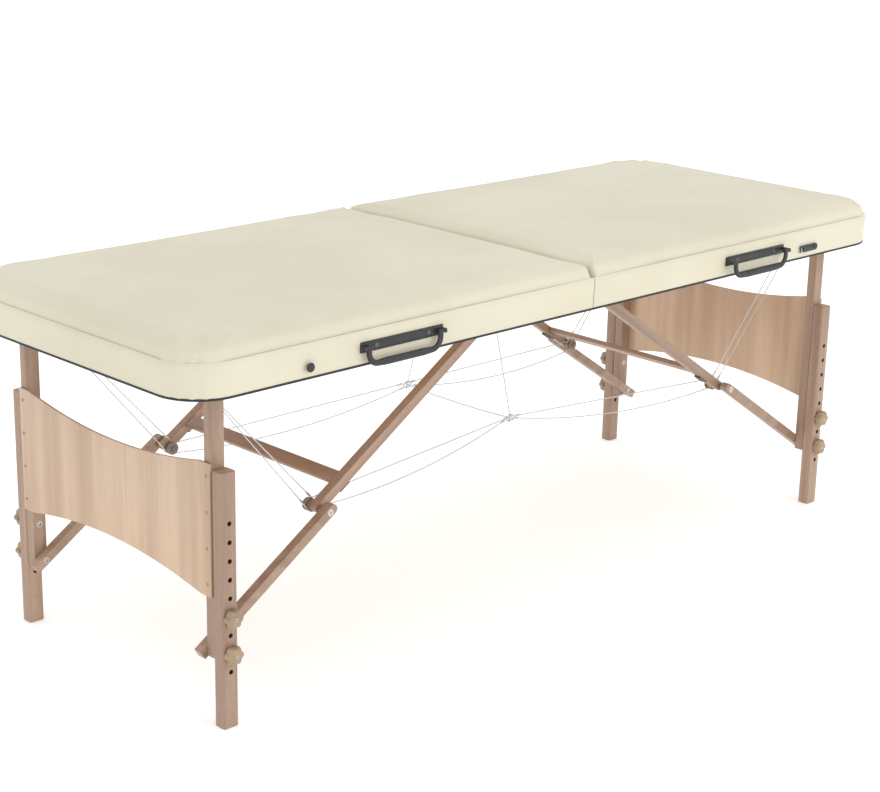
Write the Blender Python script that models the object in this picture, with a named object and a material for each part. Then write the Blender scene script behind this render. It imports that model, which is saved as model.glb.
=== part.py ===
"""Portable folding massage table: a padded top in two halves on cable-braced folding legs.

Metres, +Z up, the floor at Z = 0. X runs along the table and Y across it. The left half is
at -X. The near side, at -Y, carries the handles and the latch. Places along X are written as
a distance from the centre hinge, and `end` (-1 left, +1 right) turns them into an X. Places
across the table are a distance from its middle, and `side` (-1 near, +1 far) gives the Y.
"""

import math

import bmesh
import bpy
from mathutils import Vector

# Overall sizes
TABLE_LENGTH = 1.860
TABLE_WIDTH = 0.700
TABLE_HEIGHT = 0.682
CORNER_RADIUS = 0.085
HALVES_GAP = 0.002
TOUCH_GAP = 0.0003

# Padded top: cushion on a thin deck on a frame of rails
CUSHION_THICKNESS = 0.040
CUSHION_EDGE = 0.009
DECK_THICKNESS = 0.004
RAIL_DEPTH = 0.043
RAIL_THICKNESS = 0.018
COVER_ALLOWANCE = 0.004

# Centre hinge
HINGE_DROP = 0.0034
HINGE_LENGTH = 0.600
HINGE_KNUCKLES = 12
HINGE_PIN_RADIUS = 0.0011
KNUCKLE_RADIUS = 0.0024
KNUCKLE_GAP = 0.0008
LEAF_THICKNESS = 0.0012
LEAF_WIDTH = 0.018

# Legs
PIVOT_RISE = 0.0182
LEG_END_INSET = 0.1094
LEG_SIDE_INSET = 0.0445
LEG_WIDTH = 0.026
LEG_THICKNESS = 0.0204
LEG_TOE = 0.0148
LEG_ROD_RADIUS = 0.005
ROD_SOCKET = 0.010
ROD_CLEARANCE = 0.0004

# Height adjustment
EXTENSION_LENGTH = 0.4526
EXTENSION_WIDTH = 0.031
EXTENSION_THICKNESS = 0.0268
EXTENSION_EDGE = 0.0020
HOLE_COUNT = 9
HOLE_PITCH = 0.0328
TOP_HOLE_DROP = 0.0882
UPPER_STUD_HOLE = 6
LOWER_STUD_HOLE = 8
STUD_RADIUS = 0.003
STUD_CLEARANCE = 0.0006
KNOB_RADIUS = 0.0175
KNOB_THICKNESS = 0.016
KNOB_LOBES = 6
KNOB_LOBE_DEPTH = 0.0042
KNOB_GAP = 0.0008
KNOB_EDGE = 0.0016

# End plates
PLATE_THICKNESS = 0.0045
PLATE_BOTTOM = 0.230
PLATE_TOP = 0.463
PLATE_DIP = 0.027
PLATE_EAR = 0.028

# Folding braces
BRACE_HEIGHT = 0.018
BRACE_THICKNESS = 0.018
BRACE_GAP = 0.0008
KNEE_GAP = 0.011
KNEE_OVERHANG = 0.008
BRACE_TAIL = 0.025
BRACE_ROD_INSET = 0.095
BRACE_ROD_RADIUS = 0.004
HANGER_THICKNESS = 0.018
HANGER_GAP = 0.0055
HANGER_WALL = 0.011
CROSSBAR_OFFSET = 0.066
CROSSBAR_WIDTH = 0.026
CROSSBAR_THICKNESS = 0.010
CROSSBAR_EDGE = 0.0015
SPOOL_LENGTH = 0.016
SPOOL_RADIUS = 0.012
SPOOL_WAIST = 0.0085
SPOOL_FLANGE = 0.0025
SPOOL_PIN_RADIUS = 0.0035

# Cables
CABLE_RADIUS = 0.001
CABLE_ANCHOR_INSET = 0.075
CABLE_ANCHOR_DROP = 0.002
CABLE_ANCHOR_SPREAD = 0.007
RING_DISTANCE = 0.147
RING_HEIGHT = 0.333
RING_GAP = 0.012
RING_SPREAD = 0.003
RING_BEND_IN = 0.0048
RING_BEND_DOWN = 0.0024
HINGE_ANCHOR_DISTANCE = 0.080
STRAND_SAG = 0.022

# Handles and latch on the near side
HANDLE_DISTANCE = 0.485
HANDLE_SPAN = 0.150
HANDLE_DROP = 0.0385
HANDLE_BAR = 0.014
HANDLE_THICKNESS = 0.007
HANDLE_INNER_BEND = 0.0147
HANDLE_OUTER_BEND = 0.0259
HANDLE_PIVOT_RISE = 0.0306
HANDLE_PIVOT_OUT = 0.012
HANDLE_NEST = 0.008
HANDLE_PIN_RADIUS = 0.002
LUG_THICKNESS = 0.005
BASE_THICKNESS = 0.006
BASE_HEIGHT = 0.018
BASE_EDGE = 0.0009
LATCH_DISTANCE = 0.690
LATCH_RISE = 0.0195
LATCH_HEAD_RADIUS = 0.008
LATCH_NECK_RADIUS = 0.0025
LATCH_HOOK_WIDTH = 0.014
LATCH_HOOK_THICKNESS = 0.002
LATCH_SLOT = 0.008
LATCH_RIVET_RADIUS = 0.0049

# Faces that follow from the sizes above
HALF_LENGTH = TABLE_LENGTH / 2
HALF_WIDTH = TABLE_WIDTH / 2
CUSHION_BOTTOM = TABLE_HEIGHT - CUSHION_THICKNESS
DECK_TOP = CUSHION_BOTTOM - TOUCH_GAP
DECK_BOTTOM = DECK_TOP - DECK_THICKNESS
RAIL_TOP = DECK_BOTTOM - TOUCH_GAP
RAIL_BOTTOM = RAIL_TOP - RAIL_DEPTH
HINGE_Z = RAIL_BOTTOM - HINGE_DROP
PIVOT_Z = RAIL_BOTTOM + PIVOT_RISE
FRAME_END = HALF_LENGTH - COVER_ALLOWANCE
FRAME_SIDE = HALF_WIDTH - COVER_ALLOWANCE
RAIL_INSIDE = FRAME_SIDE - RAIL_THICKNESS
FRAME_RADIUS = CORNER_RADIUS - COVER_ALLOWANCE
LEG_DISTANCE = HALF_LENGTH - LEG_END_INSET

# Layers across the table, from the outside in
EXTENSION_OUTSIDE = HALF_WIDTH - LEG_SIDE_INSET
EXTENSION_INSIDE = EXTENSION_OUTSIDE - EXTENSION_THICKNESS
LEG_OUTSIDE = EXTENSION_INSIDE - TOUCH_GAP
LEG_INSIDE = LEG_OUTSIDE - LEG_THICKNESS
LOWER_BRACE_OUTSIDE = LEG_INSIDE - BRACE_GAP
LOWER_BRACE_INSIDE = LOWER_BRACE_OUTSIDE - BRACE_THICKNESS
UPPER_BRACE_OUTSIDE = LOWER_BRACE_INSIDE - KNEE_GAP
UPPER_BRACE_INSIDE = UPPER_BRACE_OUTSIDE - BRACE_THICKNESS
SPOOL_OUTSIDE = UPPER_BRACE_INSIDE - TOUCH_GAP
HANGER_INSIDE = UPPER_BRACE_OUTSIDE + HANGER_GAP
HANGER_OUTSIDE = HANGER_INSIDE + HANGER_THICKNESS

# The brace linkage: straight when the legs stand, flat when they are folded in
UPPER_STUD_Z = EXTENSION_LENGTH - TOP_HOLE_DROP - (UPPER_STUD_HOLE - 1) * HOLE_PITCH
LOWER_STUD_Z = EXTENSION_LENGTH - TOP_HOLE_DROP - (LOWER_STUD_HOLE - 1) * HOLE_PITCH
BRACE_DROP = PIVOT_Z - LOWER_STUD_Z
BRACE_RUN = LEG_DISTANCE - BRACE_ROD_INSET
BRACE_REACH = math.hypot(BRACE_RUN, BRACE_DROP)
BRACE_ANGLE = math.atan2(BRACE_DROP, BRACE_RUN)
FOLDED_REACH = BRACE_RUN - BRACE_DROP
UPPER_BRACE_LENGTH = (BRACE_REACH + FOLDED_REACH) / 2
LOWER_BRACE_LENGTH = (BRACE_REACH - FOLDED_REACH) / 2
KNEE_DISTANCE = LEG_DISTANCE - LOWER_BRACE_LENGTH * math.cos(BRACE_ANGLE)
KNEE_Z = LOWER_STUD_Z + LOWER_BRACE_LENGTH * math.sin(BRACE_ANGLE)

# Near-side hardware stands out of the near face, so the table is moved over by half of it
LEFT_HANDLE_Y = HALF_WIDTH + HANDLE_PIVOT_OUT - HANDLE_THICKNESS / 2
RIGHT_HANDLE_Y = LEFT_HANDLE_Y + HANDLE_NEST
HARDWARE_FRONT = RIGHT_HANDLE_Y + HANDLE_THICKNESS / 2
TABLE_SHIFT = (HARDWARE_FRONT - HALF_WIDTH) / 2

ENDS = {-1: "left", 1: "right"}
SIDES = {-1: "near", 1: "far"}
ROUND = 16
SMALL_ROUND = 8
places = {}


def material(name, colour, roughness, metallic=0.0):
    """A plain Principled material."""
    made = bpy.data.materials.new(name)
    made.use_nodes = True
    shader = made.node_tree.nodes["Principled BSDF"]
    shader.inputs["Base Color"].default_value = (*colour, 1.0)
    shader.inputs["Roughness"].default_value = roughness
    shader.inputs["Metallic"].default_value = metallic
    return made


def circle(centre, radius, count=ROUND):
    """Outline of a circle."""
    angles = [2 * math.pi * (i + 0.5) / count for i in range(count)]
    return [(centre[0] + radius * math.cos(a), centre[1] + radius * math.sin(a)) for a in angles]


def arc(centre, radius, start, end, steps=8):
    """Points on an arc, both ends included, with its angles in degrees."""
    angles = [math.radians(start + (end - start) * i / steps) for i in range(steps + 1)]
    return [(centre[0] + radius * math.cos(a), centre[1] + radius * math.sin(a)) for a in angles]


def rectangle(low, high):
    """Outline of an upright rectangle from two opposite corners."""
    return [low, (high[0], low[1]), high, (low[0], high[1])]


def prism_into(work, outline, axis, low, high):
    """Adds to a bmesh an outline pushed along an axis, from low to high."""
    order = {"X": (2, 0, 1), "Y": (0, 2, 1), "Z": (0, 1, 2)}[axis]
    start, stop = sorted((low, high))
    base = [(u, v, start) for u, v in outline]
    corners = [work.verts.new([point[i] for i in order]) for point in base]
    face = work.faces.new(corners)
    grown = bmesh.ops.extrude_face_region(work, geom=[face])
    moved = [item for item in grown["geom"] if isinstance(item, bmesh.types.BMVert)]
    push = Vector([(stop - start) if name == axis else 0.0 for name in "XYZ"])
    bmesh.ops.translate(work, verts=moved, vec=push)


def mesh_from(work, name):
    """A mesh with its faces pointing out."""
    bmesh.ops.recalc_face_normals(work, faces=work.faces[:])
    mesh = bpy.data.meshes.new(name)
    work.to_mesh(mesh)
    work.free()
    return mesh


def prisms(name, *shapes):
    """A mesh of one or more prisms, each given as outline, axis, low, high."""
    work = bmesh.new()
    for shape in shapes:
        prism_into(work, *shape)
    return mesh_from(work, name)


def lathe(name, profile, count=ROUND):
    """A solid turned about Y: the profile lists radius and Y, from one end to the other."""
    work = bmesh.new()
    rings = []
    for radius, y in profile:
        ring = [work.verts.new((x, y, z)) for x, z in circle((0, 0), radius, count)]
        rings.append(ring)
    for lower, upper in zip(rings, rings[1:]):
        for i in range(count):
            after = (i + 1) % count
            work.faces.new((lower[i], lower[after], upper[after], upper[i]))
    work.faces.new(rings[0])
    work.faces.new(rings[-1])
    return mesh_from(work, name)


def pivot(name, location, parent=None):
    """An empty on a joint's axis, which the pieces of one body hang from."""
    made = bpy.data.objects.new(name, None)
    bpy.context.collection.objects.link(made)
    put(made, location, parent)
    return made


def put(piece, location, parent, turn_y=0.0):
    """Places a piece given its place in the table's own coordinates."""
    places[piece.name] = Vector(location)
    piece.parent = parent
    origin = places[parent.name] if parent else Vector((0, 0, 0))
    piece.location = places[piece.name] - origin
    piece.rotation_euler = (0.0, turn_y, 0.0)


def add(name, data, finish, location, parent, turn_y=0.0):
    """A named piece with its material, at a place in the table's own coordinates."""
    piece = bpy.data.objects.new(name, data)
    bpy.context.collection.objects.link(piece)
    data.materials.append(finish)
    put(piece, location, parent, turn_y)
    return piece


def bevel(piece, width, segments=1):
    """Breaks the sharp edges."""
    step = piece.modifiers.new("bevel", "BEVEL")
    step.width = width
    step.segments = segments
    step.limit_method = "ANGLE"
    step.angle_limit = math.radians(50)


def combine(piece, data, operation):
    """Cuts a helper shape from a piece, or joins it on, in the piece's own coordinates."""
    helper = bpy.data.objects.new(piece.name + "_" + operation.lower(), data)
    bpy.context.collection.objects.link(helper)
    helper.parent = piece.parent
    helper.location = piece.location
    helper.rotation_euler = piece.rotation_euler
    helper.hide_render = True
    helper.display_type = "WIRE"
    step = piece.modifiers.new(operation.lower(), "BOOLEAN")
    step.operation = operation
    step.object = helper
    step.solver = "EXACT"


def smooth(piece):
    """Shades a round piece smooth, with its edges kept sharp."""
    piece.data.shade_smooth()
    piece.data.set_sharp_from_angle(angle=math.radians(40))


def half_plan(end, inside, outside, half_width, radius):
    """Plan of one half of the top: square at the centre, with two round corners at its end."""
    turn = outside - radius
    points = [(inside, -half_width)]
    points += arc((turn, radius - half_width), radius, -90, 0)
    points += arc((turn, half_width - radius), radius, 0, 90)
    points += [(inside, half_width)]
    return [(end * x, y) for x, y in points]


def frame_opening(end):
    """Plan of the space inside the rails, stepped around the two brace hangers."""
    inside = HALVES_GAP / 2 + RAIL_THICKNESS
    outside = FRAME_END - RAIL_THICKNESS
    radius = FRAME_RADIUS - RAIL_THICKNESS
    points = half_plan(1, inside, outside, RAIL_INSIDE, radius)
    reach = BRACE_ROD_INSET + HANGER_WALL
    for near, far in ((HANGER_OUTSIDE, HANGER_INSIDE), (-HANGER_INSIDE, -HANGER_OUTSIDE)):
        points += [(inside, near), (reach, near), (reach, far), (inside, far)]
    return [(end * x, y) for x, y in points]


def add_top(end, body):
    """Cushion, deck and frame of one half."""
    word = ENDS[end]
    inside = HALVES_GAP / 2
    plan = half_plan(end, inside, HALF_LENGTH, HALF_WIDTH, CORNER_RADIUS)
    mesh = prisms("cushion", (plan, "Z", CUSHION_BOTTOM, TABLE_HEIGHT))
    cushion = add(f"cushion_{word}", mesh, LEATHER, (0, 0, 0), body)
    bevel(cushion, CUSHION_EDGE, 2)

    plan = half_plan(end, inside, FRAME_END, FRAME_SIDE, FRAME_RADIUS)
    mesh = prisms("deck", (plan, "Z", DECK_BOTTOM, DECK_TOP))
    add(f"deck_{word}", mesh, PLYWOOD, (0, 0, 0), body)

    mesh = prisms("frame", (plan, "Z", RAIL_BOTTOM, RAIL_TOP))
    frame = add(f"frame_{word}", mesh, BEECH, (0, 0, 0), body)
    past = RAIL_THICKNESS
    mesh = prisms("space", (frame_opening(end), "Z", RAIL_BOTTOM - past, RAIL_TOP + past))
    combine(frame, mesh, "DIFFERENCE")
    socket = RAIL_INSIDE + ROD_SOCKET
    rod_hole = circle((end * LEG_DISTANCE, PIVOT_Z), LEG_ROD_RADIUS + ROD_CLEARANCE)
    brace_hole = circle((end * BRACE_ROD_INSET, PIVOT_Z), BRACE_ROD_RADIUS + ROD_CLEARANCE)
    through = HANGER_OUTSIDE + ROD_SOCKET
    mesh = prisms("bores", (rod_hole, "Y", -socket, socket), (brace_hole, "Y", -through, through))
    combine(frame, mesh, "DIFFERENCE")


def add_rods(end, body):
    """The rods that the legs and the braces turn on."""
    word = ENDS[end]
    reach = RAIL_INSIDE + ROD_SOCKET - TOUCH_GAP
    mesh = lathe("leg_rod", [(LEG_ROD_RADIUS, -reach), (LEG_ROD_RADIUS, reach)])
    place = (end * LEG_DISTANCE, 0, PIVOT_Z)
    smooth(add(f"leg_rod_{word}", mesh, STEEL, place, body))
    mesh = lathe("brace_rod", [(BRACE_ROD_RADIUS, -HANGER_OUTSIDE), (BRACE_ROD_RADIUS, HANGER_OUTSIDE)])
    place = (end * BRACE_ROD_INSET, 0, PIVOT_Z)
    smooth(add(f"brace_rod_{word}", mesh, STEEL, place, body))


def add_hinge_leaf(end, body):
    """One leaf of the centre hinge, with every second knuckle."""
    top = HINGE_DROP - TOUCH_GAP
    bottom = top - LEAF_THICKNESS
    inside = KNUCKLE_RADIUS + KNUCKLE_GAP
    half = HINGE_LENGTH / 2
    leaf = rectangle((end * inside, bottom), (end * LEAF_WIDTH, top))
    name = f"hinge_leaf_{ENDS[end]}"
    mesh = prisms("leaf", (leaf, "Y", -half, half))
    piece = add(name, mesh, STEEL, (0, 0, HINGE_Z), body)
    pitch = HINGE_LENGTH / HINGE_KNUCKLES
    barrel = circle((0, 0), KNUCKLE_RADIUS)
    web_low = (0.0, KNUCKLE_RADIUS / 2)
    web_high = (end * (inside + LEAF_THICKNESS), top - LEAF_THICKNESS / 8)
    first = 0 if end < 0 else 1
    starts = [index * pitch - half + KNUCKLE_GAP / 2 for index in range(first, HINGE_KNUCKLES, 2)]
    for outline in (barrel, rectangle(web_low, web_high)):
        shapes = [(outline, "Y", start, start + pitch - KNUCKLE_GAP) for start in starts]
        combine(piece, prisms("knuckles", *shapes), "UNION")
    bore = circle((0, 0), HINGE_PIN_RADIUS + ROD_CLEARANCE, SMALL_ROUND)
    combine(piece, prisms("pin_bore", (bore, "Y", -HINGE_LENGTH, HINGE_LENGTH)), "DIFFERENCE")


def add_upper_leg(end, side, body):
    """A fixed leg: round about its pivot, bored for the rod and the two studs."""
    half = LEG_WIDTH / 2
    foot = LOWER_STUD_Z - LEG_TOE - PIVOT_Z
    outline = arc((0, 0), half, 0, 180, 10) + [(-half, foot), (half, foot)]
    name = f"upper_leg_{ENDS[end]}_{SIDES[side]}"
    mesh = prisms(name, (outline, "Y", side * LEG_INSIDE, side * LEG_OUTSIDE))
    leg = add(name, mesh, BEECH, (end * LEG_DISTANCE, 0, PIVOT_Z), body)
    past = LEG_THICKNESS
    span = (side * (LEG_INSIDE - past), side * (LEG_OUTSIDE + past))
    bores = [(circle((0, 0), LEG_ROD_RADIUS + ROD_CLEARANCE), "Y", *span)]
    for stud_z in (UPPER_STUD_Z, LOWER_STUD_Z):
        hole = circle((0, stud_z - PIVOT_Z), STUD_RADIUS + STUD_CLEARANCE, SMALL_ROUND)
        bores.append((hole, "Y", *span))
    combine(leg, prisms("bores", *bores), "DIFFERENCE")


def add_end_plate(end, body):
    """The plywood panel that ties two legs, with a hollow curve along its top and bottom."""
    half = LEG_OUTSIDE - TOUCH_GAP
    flat = half - PLATE_EAR
    radius = (flat**2 + PLATE_DIP**2) / (2 * PLATE_DIP)
    sweep = math.degrees(math.asin(flat / radius))
    low = PLATE_BOTTOM - PIVOT_Z
    high = PLATE_TOP - PIVOT_Z
    bottom = arc((0, low + PLATE_DIP - radius), radius, 90 + sweep, 90 - sweep, 20)
    top = arc((0, high - PLATE_DIP + radius), radius, -90 + sweep, -90 - sweep, 20)
    outline = [(-half, low)] + bottom + [(half, low), (half, high)] + top + [(-half, high)]
    inner = LEG_WIDTH / 2 + TOUCH_GAP
    name = f"end_plate_{ENDS[end]}"
    mesh = prisms(name, (outline, "X", end * inner, end * (inner + PLATE_THICKNESS)))
    add(name, mesh, PLYWOOD, (end * LEG_DISTANCE, 0, PIVOT_Z), body)


def add_extension(end, side, body):
    """A sliding lower leg with its row of height holes."""
    half = EXTENSION_WIDTH / 2
    outline = rectangle((-half, 0.0), (half, EXTENSION_LENGTH))
    name = f"leg_extension_{ENDS[end]}_{SIDES[side]}"
    mesh = prisms(name, (outline, "Y", side * EXTENSION_INSIDE, side * EXTENSION_OUTSIDE))
    piece = add(name, mesh, BEECH, (end * LEG_DISTANCE, 0, 0), body)
    bevel(piece, EXTENSION_EDGE)
    holes = []
    for index in range(HOLE_COUNT):
        z = EXTENSION_LENGTH - TOP_HOLE_DROP - index * HOLE_PITCH
        hole = circle((0, z), STUD_RADIUS + STUD_CLEARANCE, SMALL_ROUND)
        holes.append((hole, "Y", side * LEG_INSIDE, side * FRAME_SIDE))
    combine(piece, prisms("holes", *holes), "DIFFERENCE")


def knob_outline():
    """A ring of round lobes with hollows between them."""
    points = []
    count = KNOB_LOBES * 6
    for index in range(count):
        angle = 2 * math.pi * index / count
        radius = KNOB_RADIUS - KNOB_LOBE_DEPTH * (1 - math.cos(KNOB_LOBES * angle)) / 2
        points.append((radius * math.cos(angle), radius * math.sin(angle)))
    return points


def add_knob(end, side, level, stud_z, stud_end, body):
    """A star knob and its threaded stud, which turn as one."""
    start = EXTENSION_OUTSIDE + KNOB_GAP
    name = f"knob_{level}_{ENDS[end]}_{SIDES[side]}"
    mesh = prisms(name, (knob_outline(), "Y", side * start, side * (start + KNOB_THICKNESS)))
    knob = add(name, mesh, BEECH, (end * LEG_DISTANCE, 0, stud_z), body)
    bevel(knob, KNOB_EDGE)
    stud = circle((0, 0), STUD_RADIUS, SMALL_ROUND)
    span = (side * stud_end, side * (start + KNOB_THICKNESS / 2))
    combine(knob, prisms("stud", (stud, "Y", *span)), "UNION")


def bar_outline(end, length, tail):
    """Side of a brace along +X from its first pivot: a round far end, with a square or a round start."""
    half = BRACE_HEIGHT / 2
    if tail:
        start = [(-tail, half), (-tail, -half)]
    else:
        start = arc((0, 0), half, 90, 270)
    points = start + arc((length, 0), half, -90, 90)
    return [(end * x, z) for x, z in points]


def add_lower_brace(end, side, body):
    """From the lower stud up and in to just past the knee, with a square tail."""
    name = f"lower_brace_{ENDS[end]}_{SIDES[side]}"
    outline = bar_outline(-end, LOWER_BRACE_LENGTH + KNEE_OVERHANG, BRACE_TAIL)
    span = (side * LOWER_BRACE_INSIDE, side * LOWER_BRACE_OUTSIDE)
    place = (end * LEG_DISTANCE, 0, LOWER_STUD_Z)
    brace = add(name, prisms(name, (outline, "Y", *span)), BEECH, place, body, end * BRACE_ANGLE)
    bore = circle((0, 0), STUD_RADIUS + STUD_CLEARANCE, SMALL_ROUND)
    combine(brace, prisms("bore", (bore, "Y", side * SPOOL_OUTSIDE, side * LEG_OUTSIDE)), "DIFFERENCE")


def add_upper_brace(end, side, body):
    """From the rod under the top down and out to the knee."""
    name = f"upper_brace_{ENDS[end]}_{SIDES[side]}"
    outline = bar_outline(end, UPPER_BRACE_LENGTH, 0.0)
    span = (side * UPPER_BRACE_INSIDE, side * UPPER_BRACE_OUTSIDE)
    place = (end * BRACE_ROD_INSET, 0, PIVOT_Z)
    brace = add(name, prisms(name, (outline, "Y", *span)), BEECH, place, body, end * BRACE_ANGLE)
    past = BRACE_THICKNESS / 2
    cut = (side * (UPPER_BRACE_INSIDE - past), side * (UPPER_BRACE_OUTSIDE + past))
    rod = circle((0, 0), BRACE_ROD_RADIUS + ROD_CLEARANCE)
    pin = circle((end * UPPER_BRACE_LENGTH, 0), SPOOL_PIN_RADIUS + ROD_CLEARANCE)
    combine(brace, prisms("bores", (rod, "Y", *cut), (pin, "Y", *cut)), "DIFFERENCE")


def add_crossbar(end, body):
    """The flat bar that ties the two upper braces, near their knees and level with their tops."""
    along = UPPER_BRACE_LENGTH - CROSSBAR_OFFSET
    low = (end * (along - CROSSBAR_WIDTH / 2), BRACE_HEIGHT / 2 - CROSSBAR_THICKNESS)
    high = (end * (along + CROSSBAR_WIDTH / 2), BRACE_HEIGHT / 2)
    name = f"crossbar_{ENDS[end]}"
    mesh = prisms(name, (rectangle(low, high), "Y", -SPOOL_OUTSIDE, SPOOL_OUTSIDE))
    bar = add(name, mesh, BEECH, (end * BRACE_ROD_INSET, 0, PIVOT_Z), body, end * BRACE_ANGLE)
    bevel(bar, CROSSBAR_EDGE)


def add_knee_spool(end, side, body):
    """A turned wooden spool with two cable grooves and a pin through the upper brace."""
    inside = SPOOL_OUTSIDE - SPOOL_LENGTH
    middle = (SPOOL_OUTSIDE + inside) / 2
    lip = SPOOL_FLANGE / 2
    profile = [(SPOOL_PIN_RADIUS, LOWER_BRACE_INSIDE - TOUCH_GAP), (SPOOL_PIN_RADIUS, SPOOL_OUTSIDE)]
    profile += [(SPOOL_RADIUS, SPOOL_OUTSIDE), (SPOOL_RADIUS, SPOOL_OUTSIDE - SPOOL_FLANGE)]
    profile += [(SPOOL_WAIST, SPOOL_OUTSIDE - SPOOL_FLANGE), (SPOOL_WAIST, middle + lip)]
    profile += [(SPOOL_RADIUS, middle + lip), (SPOOL_RADIUS, middle - lip)]
    profile += [(SPOOL_WAIST, middle - lip), (SPOOL_WAIST, inside + SPOOL_FLANGE)]
    profile += [(SPOOL_RADIUS, inside + SPOOL_FLANGE), (SPOOL_RADIUS, inside)]
    name = f"knee_spool_{ENDS[end]}_{SIDES[side]}"
    mesh = lathe(name, [(radius, side * y) for radius, y in profile])
    spool = add(name, mesh, BEECH, (end * KNEE_DISTANCE, 0, KNEE_Z), body)
    smooth(spool)


def groove_distance(index):
    """Distance from the table's middle to groove 0, next to the brace, or groove 1."""
    length = (SPOOL_LENGTH - 3 * SPOOL_FLANGE) / 2
    return SPOOL_OUTSIDE - SPOOL_FLANGE - length / 2 - index * (length + SPOOL_FLANGE)


def strand(start, stop, sag, steps):
    """Points from start to stop, hanging below the straight line by sag at the middle."""
    points = []
    for index in range(steps + 1):
        share = index / steps
        point = start.lerp(stop, share)
        point.z -= 4 * sag * share * (1 - share)
        points.append(point)
    return points


def loop_route(end, side, fixed_a, fixed_b, groove, sag):
    """A cable from one fixed end, round the knee spool and back to the other."""
    centre = Vector((end * KNEE_DISTANCE, side * groove, KNEE_Z))
    toward = (fixed_a + fixed_b) / 2 - centre
    toward.y = 0
    toward.normalize()
    across = Vector((-toward.z, 0, toward.x))
    if across.z < 0:
        across.negate()
    radius = SPOOL_WAIST + CABLE_RADIUS + 2 * TOUCH_GAP
    turn = []
    for index in range(9):
        angle = math.pi * index / 8
        turn.append(centre + radius * (across * math.cos(angle) - toward * math.sin(angle)))
    steps = 8 if sag else 1
    return strand(fixed_a, turn[0], 0.0, 1)[:-1] + turn + strand(turn[-1], fixed_b, sag, steps)[1:]


def add_cable(name, points, body):
    """A round steel cable along its points."""
    curve = bpy.data.curves.new(name, "CURVE")
    curve.dimensions = "3D"
    curve.bevel_depth = CABLE_RADIUS
    curve.bevel_resolution = 2
    curve.use_fill_caps = True
    line = curve.splines.new("POLY")
    line.points.add(len(points) - 1)
    for slot, point in zip(line.points, points):
        slot.co = (*point, 1.0)
    add(name, curve, CABLE, (0, 0, 0), body)


def add_side_cables(end, side, body):
    """The end cable, up to the frame, and the long cable, in to the centre ring."""
    tail = f"{ENDS[end]}_{SIDES[side]}"
    anchor_x = end * (HALF_LENGTH - CABLE_ANCHOR_INSET)
    anchor_z = RAIL_TOP - CABLE_ANCHOR_DROP
    groove = groove_distance(0)
    outer = Vector((anchor_x, side * (groove - CABLE_ANCHOR_SPREAD), anchor_z))
    inner = Vector((anchor_x, side * (groove + CABLE_ANCHOR_SPREAD), anchor_z))
    route = loop_route(end, side, outer, inner, groove, 0.0)
    add_cable(f"end_cable_{tail}", route, body)

    groove = groove_distance(1)
    ring_x = end * RING_GAP
    upper = Vector((ring_x, side * (RING_DISTANCE + RING_SPREAD), RING_HEIGHT + RING_SPREAD))
    lower = Vector((ring_x, side * (RING_DISTANCE - RING_SPREAD), RING_HEIGHT - RING_SPREAD))
    route = loop_route(end, side, upper, lower, groove, STRAND_SAG)
    add_cable(f"long_cable_{tail}", route, body)


def add_centre_cable(body):
    """From the hinge down to one ring, across to the other and back up."""
    top = HINGE_Z - KNUCKLE_RADIUS - TOUCH_GAP - CABLE_RADIUS
    points = []
    for side in (-1, 1):
        hinge = Vector((0, side * HINGE_ANCHOR_DISTANCE, top))
        ring = Vector((0, side * RING_DISTANCE, RING_HEIGHT))
        bend = Vector((0, side * (RING_DISTANCE - RING_BEND_IN), RING_HEIGHT - RING_BEND_DOWN))
        points += [hinge, ring, bend] if side < 0 else [bend, ring, hinge]
    add_cable("centre_cable", points, body)


def add_handle_base(end, axis_y, body):
    """A plate on the near face with two lugs and the pins that the handle swings on."""
    half = HANDLE_SPAN / 2
    rail_face = -(FRAME_SIDE + TOUCH_GAP)
    plate_front = rail_face - BASE_THICKNESS
    reach = half + HANDLE_BAR + LUG_THICKNESS
    name = f"handle_base_{ENDS[end]}"
    plate = rectangle((-reach, -BASE_HEIGHT / 2), (reach, BASE_HEIGHT / 2))
    mesh = prisms(name, (plate, "Y", rail_face, plate_front))
    place = (end * HANDLE_DISTANCE, 0, RAIL_BOTTOM + HANDLE_PIVOT_RISE)
    base = add(name, mesh, BLACK, place, body)
    bevel(base, BASE_EDGE)
    front = -(axis_y + HANDLE_THICKNESS / 2)
    edge = HANDLE_THICKNESS / 2
    lug = rectangle((front, -edge), (plate_front + edge, edge))
    pin = circle((-axis_y, 0), HANDLE_PIN_RADIUS, SMALL_ROUND)
    lug_inside = half + HANDLE_BAR + TOUCH_GAP
    lugs = [(lug, "X", sign * lug_inside, sign * reach) for sign in (-1, 1)]
    pin_inside = half + HANDLE_BAR / 2
    pin_outside = reach - LUG_THICKNESS / 2
    pins = [(pin, "X", sign * pin_inside, sign * pin_outside) for sign in (-1, 1)]
    combine(base, prisms("lugs", *lugs), "UNION")
    combine(base, prisms("pins", *pins), "UNION")


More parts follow.
